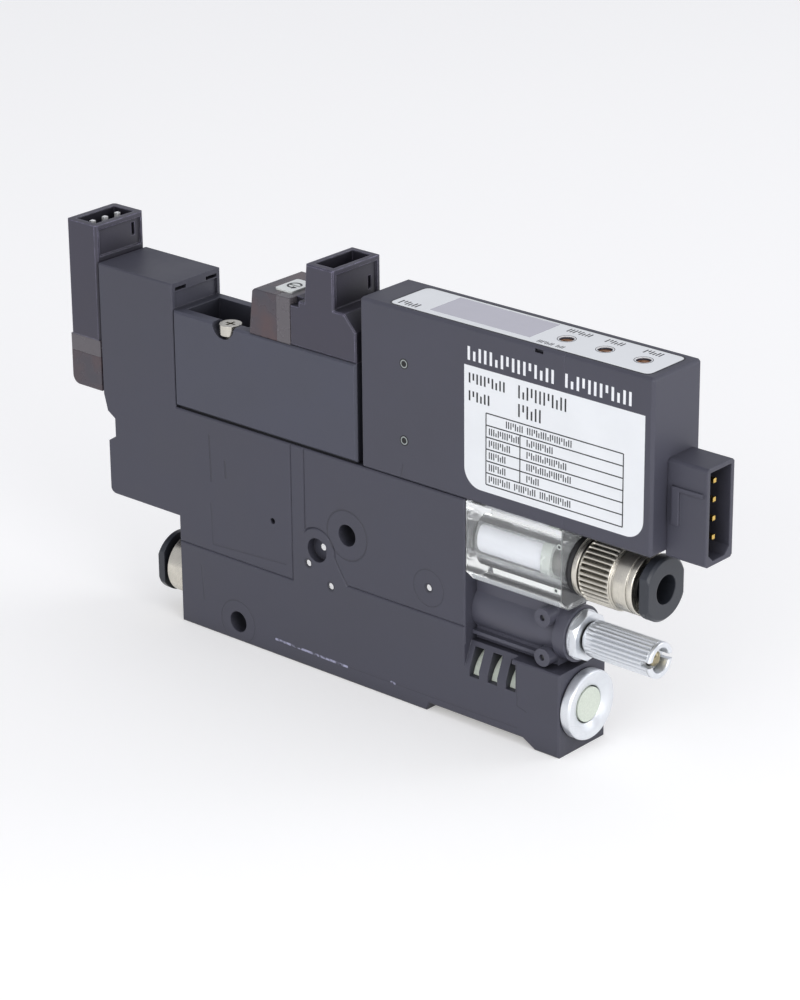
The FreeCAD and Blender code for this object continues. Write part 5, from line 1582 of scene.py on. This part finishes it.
@dataclass
class ReleaseNeedle(Assembly):
    """Knurled aluminium knob of the release-flow needle.

    Attributes:
        height: Height of the axis.
        outer: Outer radius.
        neck: Radius and length of the neck at the lock nut.
        rim: Length of the smooth rim.
        rim_line: Width and depth of the line behind the rim.
        mouth: Radius and depth of the mouth.
        bore: Radius of the bore round the needle's head.
        slot: Width of the slot across the rim.
        parts: How many lengths the ridged part is cut into.
        ridges: Number of ridges.
        ridge_depth: Depth of the valleys between them.
        ridge_margins: Distances from the ridges to the neck and to the rim.
        ridge_foot: Only surface so near the outer radius is ridged.
        sharpness: Sharpness of the ridges.
        ridge_steps: Segments of a ridge.
        rounding: Reach and segments of a rounded edge.
    """

    height: float = NEEDLE_HEIGHT
    outer: float = 2.55
    neck: Point2 = (2.15, 0.6)
    rim: float = 0.62
    rim_line: Point2 = (0.16, 0.12)
    mouth: Point2 = (1.75, 1.6)
    bore: float = 1.12
    slot: float = 0.8
    parts: int = 8
    ridges: int = 24
    ridge_depth: float = 0.26
    ridge_margins: Point2 = (0.25, 0.05)
    ridge_foot: float = 0.06
    sharpness: float = 1.8
    ridge_steps: int = 14
    rounding: tuple[float, int] = (0.2, 3)

    def build(self) -> None:
        """Make the knob with its fine ridges, smooth rim and cross slot."""
        low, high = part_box("needle_knob")
        start = low.x / MM
        end = high.x / MM
        ridged = (start + self.neck[1], end - self.rim)
        knurling = Ridges(self.ridges, self.ridge_depth, ridged[0] + self.ridge_margins[0],
                          ridged[1] - self.ridge_margins[1], self.outer - self.ridge_foot,
                          self.sharpness)
        turning = Turning(softened(self.outline(start, end, ridged), *self.rounding), self.height,
                          self.ridges * self.ridge_steps, knurling)
        mouth_r, mouth_depth = self.mouth
        half = self.slot / 2
        knob = carved(turning.mesh(), (end - mouth_depth, -mouth_r * 2, self.height - half),
                      (end + mouth_depth, mouth_r * 2, self.height + half))
        piece = settle("needle_knob_fine", knob, self.finishes["aluminium"], "release_needle",
                       crease=40.0)
        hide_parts("needle_knob")

    def outline(self, start: float, end: float, ridged: Point2) -> list[Point2]:
        """Draw half of the knob's section.

        Args:
            start: Where the knob starts.
            end: Where it ends.
            ridged: Where the ridged part starts and ends.

        Returns:
            The outline as (along, radius) pairs.
        """
        neck_r = self.neck[0]
        mouth_r, mouth_depth = self.mouth
        width, depth = self.rim_line
        line_start = ridged[1]
        outline = [(start, self.bore), (start, neck_r), (ridged[0], neck_r)]
        outline += [(along, self.outer) for along in stations(*ridged, self.parts)]
        outline += [(line_start, self.outer - depth), (line_start + width, self.outer - depth),
                    (line_start + width, self.outer), (end, self.outer), (end, mouth_r),
                    (end - mouth_depth, mouth_r), (end - mouth_depth, self.bore)]
        return outline


@dataclass
class SilencerOutlet(Assembly):
    """Rounded aluminium ring at the silencer's mouth.

    Attributes:
        height: Height of the axis.
        sleeve: Radius and start of the sleeve inside the body.
        ring: Radius, start and end of the ring.
        face: Radius where the flat face turns into the cone.
        mouth: Radius of the mouth and where the cone meets it.
        steps: Segments round the axis.
        rounding: Reach and segments of a rounded edge.
    """

    height: float = EJECTOR_HEIGHT
    sleeve: Point2 = (4.1, 33.4)
    ring: Point3 = (4.95, 35.3, 37.0)
    face: float = 3.9
    mouth: Point2 = (2.55, 36.35)
    steps: int = 128
    rounding: tuple[float, int] = (0.42, 6)

    def build(self) -> None:
        """Make the ring."""
        sleeve_r, sleeve_start = self.sleeve
        outer, start, end = self.ring
        mouth_r, cone_foot = self.mouth
        outline = [(sleeve_start, sleeve_r), (start, sleeve_r), (start, outer), (end, outer),
                   (end, self.face), (cone_foot, mouth_r), (sleeve_start, mouth_r)]
        turning = Turning(softened(outline, *self.rounding), self.height, self.steps)
        piece = settle("silencer_ring_round", turning.mesh(), self.finishes["aluminium"], "unit",
                       crease=50.0)
        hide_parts("silencer_ring")


@dataclass
class FilterCover(Assembly):
    """Frosted ribs on the bevel of the clear cover and two rimmed pips in its near side.

    Attributes:
        near: The cover's near side.
        bevel: Reach of the bevel along its lower near edge.
        rib: Width of a rib, and the distance from rib to rib.
        rib_height: How far a rib stands out.
        lean: How far a rib leans for each millimetre of its height.
        margin: Distance from the ribs to the bevel's edges.
        pips: Places of the pips, as (x, z).
        radius: Outer radius of a rim.
        rim_height: How far a rim stands out.
        hole: Radius of the dark middle, painted shade of the pip's hole.
        hole_height: Thickness of the dark middle.
        steps: Segments of a pip.
    """

    near: float = -4.85
    bevel: float = 1.6
    rib: Point2 = (0.26, 0.36)
    rib_height: float = 0.03
    lean: float = 0.4
    margin: float = 0.1
    pips: tuple[Point2, ...] = ((35.0, 30.79), (34.53, 24.41))
    radius: float = 0.4
    rim_height: float = 0.05
    hole: float = 0.22
    hole_height: float = 0.03
    steps: int = 20

    def build(self) -> None:
        """Make the ribs and the pips."""
        self.ribs()
        self.rimmed_pips()

    def ribs(self) -> None:
        """Make the row of leaning ribs on the bevel."""
        low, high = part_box("filter_cover")
        slope = math.sqrt(0.5)
        layer = Print((0.0, self.near + self.bevel, low.z / MM), ALONG, (0.0, -slope, slope),
                      self.rib_height)
        width, pitch = self.rib
        foot = self.margin
        head = self.bevel / slope - self.margin
        lean = self.lean * head
        place = low.x / MM + self.margin
        while place + width + lean < high.x / MM - self.margin:
            layer.loop([(place, foot), (place + width, foot), (place + width + lean, head),
                        (place + lean, head)])
            place += pitch
        layer.piece("cover_bevel_ribs", RIB_FILM, "unit", "clear_resin")

    def rimmed_pips(self) -> None:
        """Make the rims of the pips and their dark middles, which are painted shade of their holes."""
        rims = near_layer(self.near, self.rim_height)
        holes = near_layer(self.near, self.hole_height)
        for place in self.pips:
            rims.disc(place, self.radius, self.hole, self.steps)
            holes.disc(place, self.hole, steps=self.steps)
        rims.piece("cover_pip_rims", self.finishes["milky_resin"], "unit", "milky_resin")
        holes.piece("cover_pip_holes", PIP_SHADE_FILM, "unit", "milky_resin")


@dataclass
class ReleaseOverride(Assembly):
    """Turning arrow on the release valve's manual override.

    Attributes:
        orbit: Radius of the arrow's arc.
        line: Width of the arc.
        sweep: Start and end of the arc, in degrees.
        head: Length of the arrow's head.
        spread: Half of the head's width.
    """

    orbit: float = 0.95
    line: float = 0.3
    sweep: Point2 = (20.0, 290.0)
    head: float = 0.75
    spread: float = 0.45

    def build(self) -> None:
        """Make the arrow."""
        low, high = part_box("release_override")
        middle = (low + high) / 2 / MM
        layer = top_layer((middle.x, middle.y, high.z / MM))
        layer.arc(self.orbit, self.line, self.sweep)
        tip = math.radians(self.sweep[1])
        out = Vector((math.cos(tip), math.sin(tip)))
        ahead = Vector((-out.y, out.x))
        foot = out * self.orbit
        layer.loop([tuple(foot - out * self.spread), tuple(foot + out * self.spread),
                    tuple(foot + ahead * self.head)])
        layer.piece("override_arrow", INK_FILM, "release_override", "override_white")


@dataclass
class PressureSensor(Assembly):
    """Print, rims and marks of the pressure sensor.

    Attributes:
        near: The near side.
        title: The row of strokes above the side label.
        headings: The rows above the table.
        table_x: Left and right edge of the table.
        table_z: Lower and upper edge of the table.
        split: The line between the table's columns.
        rows: Number of rows.
        rule: Width of the ruled lines.
        letter: Height of the table's strokes.
        row_foot: Their distance from the line below.
        indents: Where they start, from the left edge: in the first row, and in the others.
        second_indent: Where they start in the second column.
        first_row: Words of the first row, as numbers of letters.
        pairs: Words of the two columns in each row between.
        last_row: Words of the last row.
        top: The face of the top label.
        top_low: Rear near corner of the top label.
        top_high: Front far corner of it.
        top_corner: Radius of its corners.
        top_line: Width of the line round it.
        unit_row: The row beside the window.
        lamp_row: The row beside the first trimmer.
        trimmers: Places of the trimmers along X.
        trimmer_y: Their place across.
        trimmer_row: The row beside a trimmer, measured from it.
        trimmer_letters: Number of letters for each trimmer.
        well: Inner and outer radius of the fine line round a trimmer.
        spots: Places of the two rimmed spots, as (x, z).
        surround: Outer and inner radius of a spot's dark surround.
        rim: Outer and inner radius of its rim.
        core: Radius of its dark middle, painted shade of the hole.
    """

    near: float = -5.0
    title: Row = Row(19.45, 53.35, 1.9, (8, 6), 1.88, 0.4)
    headings: tuple[Row, ...] = (
        Row(19.65, 50.2, 1.4, (5,), 1.3, 0.26),
        Row(19.65, 47.7, 1.4, (3,), 1.3, 0.26),
        Row(28.05, 50.0, 1.8, (6,), 1.4, 0.26),
        Row(28.05, 47.4, 1.8, (3,), 1.4, 0.26),
    )
    table_x: Point2 = (22.6, 45.4)
    table_z: Point2 = (36.5, 46.6)
    split: float = 28.3
    rows: int = 6
    rule: float = 0.16
    letter: float = 0.95
    row_foot: float = 0.38
    indents: Point2 = (3.4, 0.5)
    second_indent: float = 1.2
    first_row: tuple[int, ...] = (4, 10)
    pairs: tuple[tuple[int, int], ...] = ((7, 6), (5, 9), (4, 10), (4, 3))
    last_row: tuple[int, ...] = (5, 5, 7)
    top: float = 57.85
    top_low: Point2 = (4.85, -4.4)
    top_high: Point2 = (48.75, 4.0)
    top_corner: float = 1.3
    top_line: float = 0.2
    unit_row: Row = Row(6.0, -3.5, 1.3, (3,), 1.15, 0.24)
    lamp_row: Row = Row(29.85, -3.6, 0.8, (4, 2), 0.66)
    trimmers: Point3 = (32.25, 38.55, 44.75)
    trimmer_y: float = -0.3
    trimmer_row: Row = Row(-1.9, 1.95, 1.15, (), 1.0, 0.2)
    trimmer_letters: tuple[int, ...] = (4, 3, 3)
    well: Point2 = (1.2, 1.28)
    spots: tuple[Point2, ...] = ((8.3, 50.1), (8.25, 39.1))
    surround: Point2 = (0.74, 0.5994)
    rim: Point2 = (0.592, 0.4292)
    core: float = 0.4218

    def build(self) -> None:
        """Make all print and the two rimmed spots."""
        self.title_row()
        self.table()
        self.top_print()
        self.rimmed_spots()

    def title_row(self) -> None:
        """Make the row of white strokes above the side label."""
        layer = near_layer(self.near)
        layer.words(self.title)
        layer.piece("side_title_print", WHITE_INK_FILM, "unit", "label_white")

    def table(self) -> None:
        """Make the ruled table and the rows of strokes on the side label."""
        layer = near_layer(self.near)
        left, right = self.table_x
        low, high = self.table_z
        row = (high - low) / self.rows
        for index in range(self.rows + 1):
            layer.bar(left, low + row * index - self.rule / 2, right - left, self.rule)
        for place in (left, right):
            layer.bar(place - self.rule / 2, low, self.rule, high - low)
        layer.bar(self.split, low + row, self.rule, high - low - 2 * row)
        for index, place, letters in self.cells():
            layer.words(Row(place, high - row * (index + 1) + self.row_foot, self.letter, letters))
        for heading in self.headings:
            layer.words(heading)
        layer.piece("side_table_print", INK_FILM, "unit", "label_white")

    def cells(self) -> list[tuple[int, float, tuple[int, ...]]]:
        """List what the table holds.

        Returns:
            For each cell its row from the top, where its words start, and their letters.
        """
        left = self.table_x[0]
        first, other = self.indents
        cells = [(0, left + first, self.first_row)]
        for index, (name, value) in enumerate(self.pairs, start=1):
            cells.append((index, left + other, (name,)))
            cells.append((index, self.split + self.second_indent, (value,)))
        cells.append((self.rows - 1, left + other, self.last_row))
        return cells

    def top_print(self) -> None:
        """Make the outline, the words and the fine rings on the top label."""
        layer = top_layer((0.0, 0.0, self.top))
        layer.frame(self.top_low, self.top_high, self.top_corner, self.top_line)
        layer.words(self.unit_row)
        for place in self.trimmers:
            layer.disc((place, self.trimmer_y), self.well[1], self.well[0])
        for place, count in zip(self.trimmers, self.trimmer_letters):
            layer.words(replace(self.trimmer_row, left=place + self.trimmer_row.left, letters=(count,)))
        layer.words(self.lamp_row)
        layer.piece("top_label_print", INK_FILM, "unit", "label_white")

    def rimmed_spots(self) -> None:
        """Make the two small rimmed spots near the sensor's rear edge, with a dark middle of painted
        shade where the hole is.
        """
        rims = near_layer(self.near)
        cores = near_layer(self.near)
        for place in self.spots:
            rims.disc(place, *self.rim)
            cores.disc(place, *self.surround)
            cores.disc(place, self.core)
        rims.piece("sensor_spot_rims", RIM_FILM, "unit", "sensor_plastic")
        cores.piece("sensor_spot_cores", CORE_FILM, "unit", "sensor_plastic")


# Studio

def facing(place: Vector, aim: Vector) -> Quaternion:
    """Return the turn that makes a light or a camera at a place look at another."""
    return (aim - place).to_track_quat("-Z", "Y")


@dataclass(frozen=True)
class Softbox:
    """A square area light.

    Attributes:
        name: Name of the light.
        place: Where it hangs, in metres.
        aim: What it points at, in metres.
        side: Its side, in metres.
        power: Its power in watts.
    """

    name: str
    place: Point3
    aim: Point3
    side: float
    power: float

    def hang(self) -> None:
        """Add the light to the scene."""
        data = bpy.data.lights.new(self.name, "AREA")
        data.size = self.side
        data.energy = self.power
        lamp = bpy.data.objects.new(self.name, data)
        lamp.location = self.place
        lamp.rotation_euler = facing(Vector(self.place), Vector(self.aim)).to_euler()
        bpy.context.scene.collection.objects.link(lamp)


@dataclass
class Studio:
    """Pale floor, soft lights and the camera.

    Attributes:
        camera_place: Where the camera stands, in millimetres.
        camera_aim: What it looks at, in millimetres.
        lens: Its focal length, in millimetres.
        sensor: Width of its sensor, in millimetres.
        clip: Nearest and farthest distance that it sees, in metres.
        roll: How far it is turned about its own line of sight, in degrees.
        surround: Light of the surround below and above.
        horizon: Where one turns into the other, as heights from -1 to 1.
        backdrop: What the camera sees of the surround, also through clear pieces.
        paper: The floor's two tones.
        paper_waves: Waves per millimetre between them.
        paper_sheen: Roughness and surface reflection of the floor.
        floor_reach: How far the floor reaches, in metres.
        lift: What the floor shows to the camera and in reflections on top of what it reflects.
        lights: The softboxes.
    """

    camera_place: Point3 = (296.18, -332.71, 209.44)
    camera_aim: Point3 = (3.0, 0.0, 27.5)
    lens: float = 156.5
    sensor: float = 36.0
    clip: Point2 = (0.01, 50.0)
    roll: float = -0.51
    surround: tuple[Colour, Colour] = ((0.6, 0.61, 0.65), (0.58, 0.59, 0.63))
    horizon: Point2 = (-0.1, 0.55)
    backdrop: Colour = (0.97, 0.97, 0.97)
    paper: tuple[Colour, Colour] = ((0.76, 0.76, 0.77), (0.79, 0.79, 0.79))
    paper_waves: float = 0.004
    paper_sheen: Point2 = (0.9, 0.1)
    floor_reach: float = 6.0
    lift: Colour = (0.3, 0.295, 0.285)
    lights: tuple[Softbox, ...] = (
        Softbox("key_light", (0.12, -0.62, 0.26), (0.02, 0.0, 0.02), 0.45, 1.4),
        Softbox("front_light", (0.6, -0.22, 0.22), (0.0, 0.0, 0.03), 0.35, 1.7),
        Softbox("rear_fill", (0.45, 0.5, 0.3), (0.0, 0.0, 0.03), 0.3, 0.8),
        Softbox("top_light", (0.05, 0.1, 0.7), (0.0, 0.0, 0.03), 0.5, 0.3),
    )

    def build(self) -> None:
        """Set up view, world, floor, lights and camera."""
        bpy.context.scene.view_settings.view_transform = "Standard"
        self.world()
        self.floor()
        for light in self.lights:
            light.hang()
        self.camera()

    def world(self) -> None:
        """Make an even pale surround that looks nearly white behind the unit."""
        world = bpy.data.worlds.new("surround")
        world.use_nodes = True
        bpy.context.scene.world = world
        graph = Graph(world.node_tree)
        parts = graph.node("ShaderNodeSeparateXYZ")
        graph.feed(parts.inputs[0], graph.node("ShaderNodeTexCoord").outputs["Generated"])
        below, above = self.surround
        around = graph.mix(graph.spread(parts.outputs["Z"], *self.horizon), opaque(below), opaque(above))
        seen = graph.seen_by("Is Camera Ray", "Is Transmission Ray")
        graph.feed(world.node_tree.nodes["Background"].inputs["Color"],
                   graph.mix(seen, around, opaque(self.backdrop)))

    def floor(self) -> None:
        """Lay the pale floor under the unit."""
        mesh = bmesh.new()
        bmesh.ops.create_grid(mesh, x_segments=1, y_segments=1, size=self.floor_reach)
        data = bpy.data.meshes.new("studio_floor")
        mesh.to_mesh(data)
        mesh.free()
        sheet = bpy.data.objects.new("studio_floor", data)
        bpy.context.scene.collection.objects.link(sheet)
        data.materials.append(self.floor_paper())

    def floor_paper(self) -> bpy.types.Material:
        """Make the floor's material.

        Returns:
            The material.
        """
        made = bpy.data.materials.new("studio_paper")
        made.use_nodes = True
        shader = made.node_tree.nodes["Principled BSDF"]
        graph = Graph(made.node_tree)
        tone = graph.noise(graph.place(), self.paper_waves)
        first, second = self.paper
        graph.feed(shader.inputs["Base Color"], graph.mix(tone, opaque(first), opaque(second)))
        seen = graph.seen_by("Is Camera Ray", "Is Glossy Ray")
        graph.feed(shader.inputs["Emission Color"], graph.mix(seen, opaque(BLACK), opaque(self.lift)))
        shader.inputs["Emission Strength"].default_value = 1.0
        roughness, reflection = self.paper_sheen
        shader.inputs["Roughness"].default_value = roughness
        shader.inputs["Specular IOR Level"].default_value = reflection
        return made

    def camera(self) -> None:
        """Set the camera as the photograph was taken, closer in by a longer lens."""
        data = bpy.data.cameras.new("camera")
        data.sensor_fit = "HORIZONTAL"
        data.sensor_width = self.sensor
        data.lens = self.lens
        data.clip_start, data.clip_end = self.clip
        eye = bpy.data.objects.new("camera", data)
        place = Vector(self.camera_place) * MM
        eye.location = place
        roll = Quaternion(UPRIGHT, math.radians(self.roll))
        eye.rotation_euler = (facing(place, Vector(self.camera_aim) * MM) @ roll).to_euler()
        bpy.context.scene.collection.objects.link(eye)
        bpy.context.scene.camera = eye


def main() -> None:
    """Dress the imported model, add the fine pieces and set up the studio."""
    logging.basicConfig(level=logging.INFO, format="%(name)s: %(message)s")
    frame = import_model()
    Studio().build()
    finishes = finish_table()
    slots = {part["node"]: part["material_slot"] for part in frame["record"]["subparts"]}
    NodeDresser(frame["nodes"], slots, finishes).dress()
    for assembly in (VacuumPort, ReleaseNeedle, SilencerOutlet, FilterCover, ReleaseOverride,
                     PressureSensor):
        assembly(finishes).build()
        LOG.info("built %s", assembly.__name__)


if __name__ == "__main__":
    main()
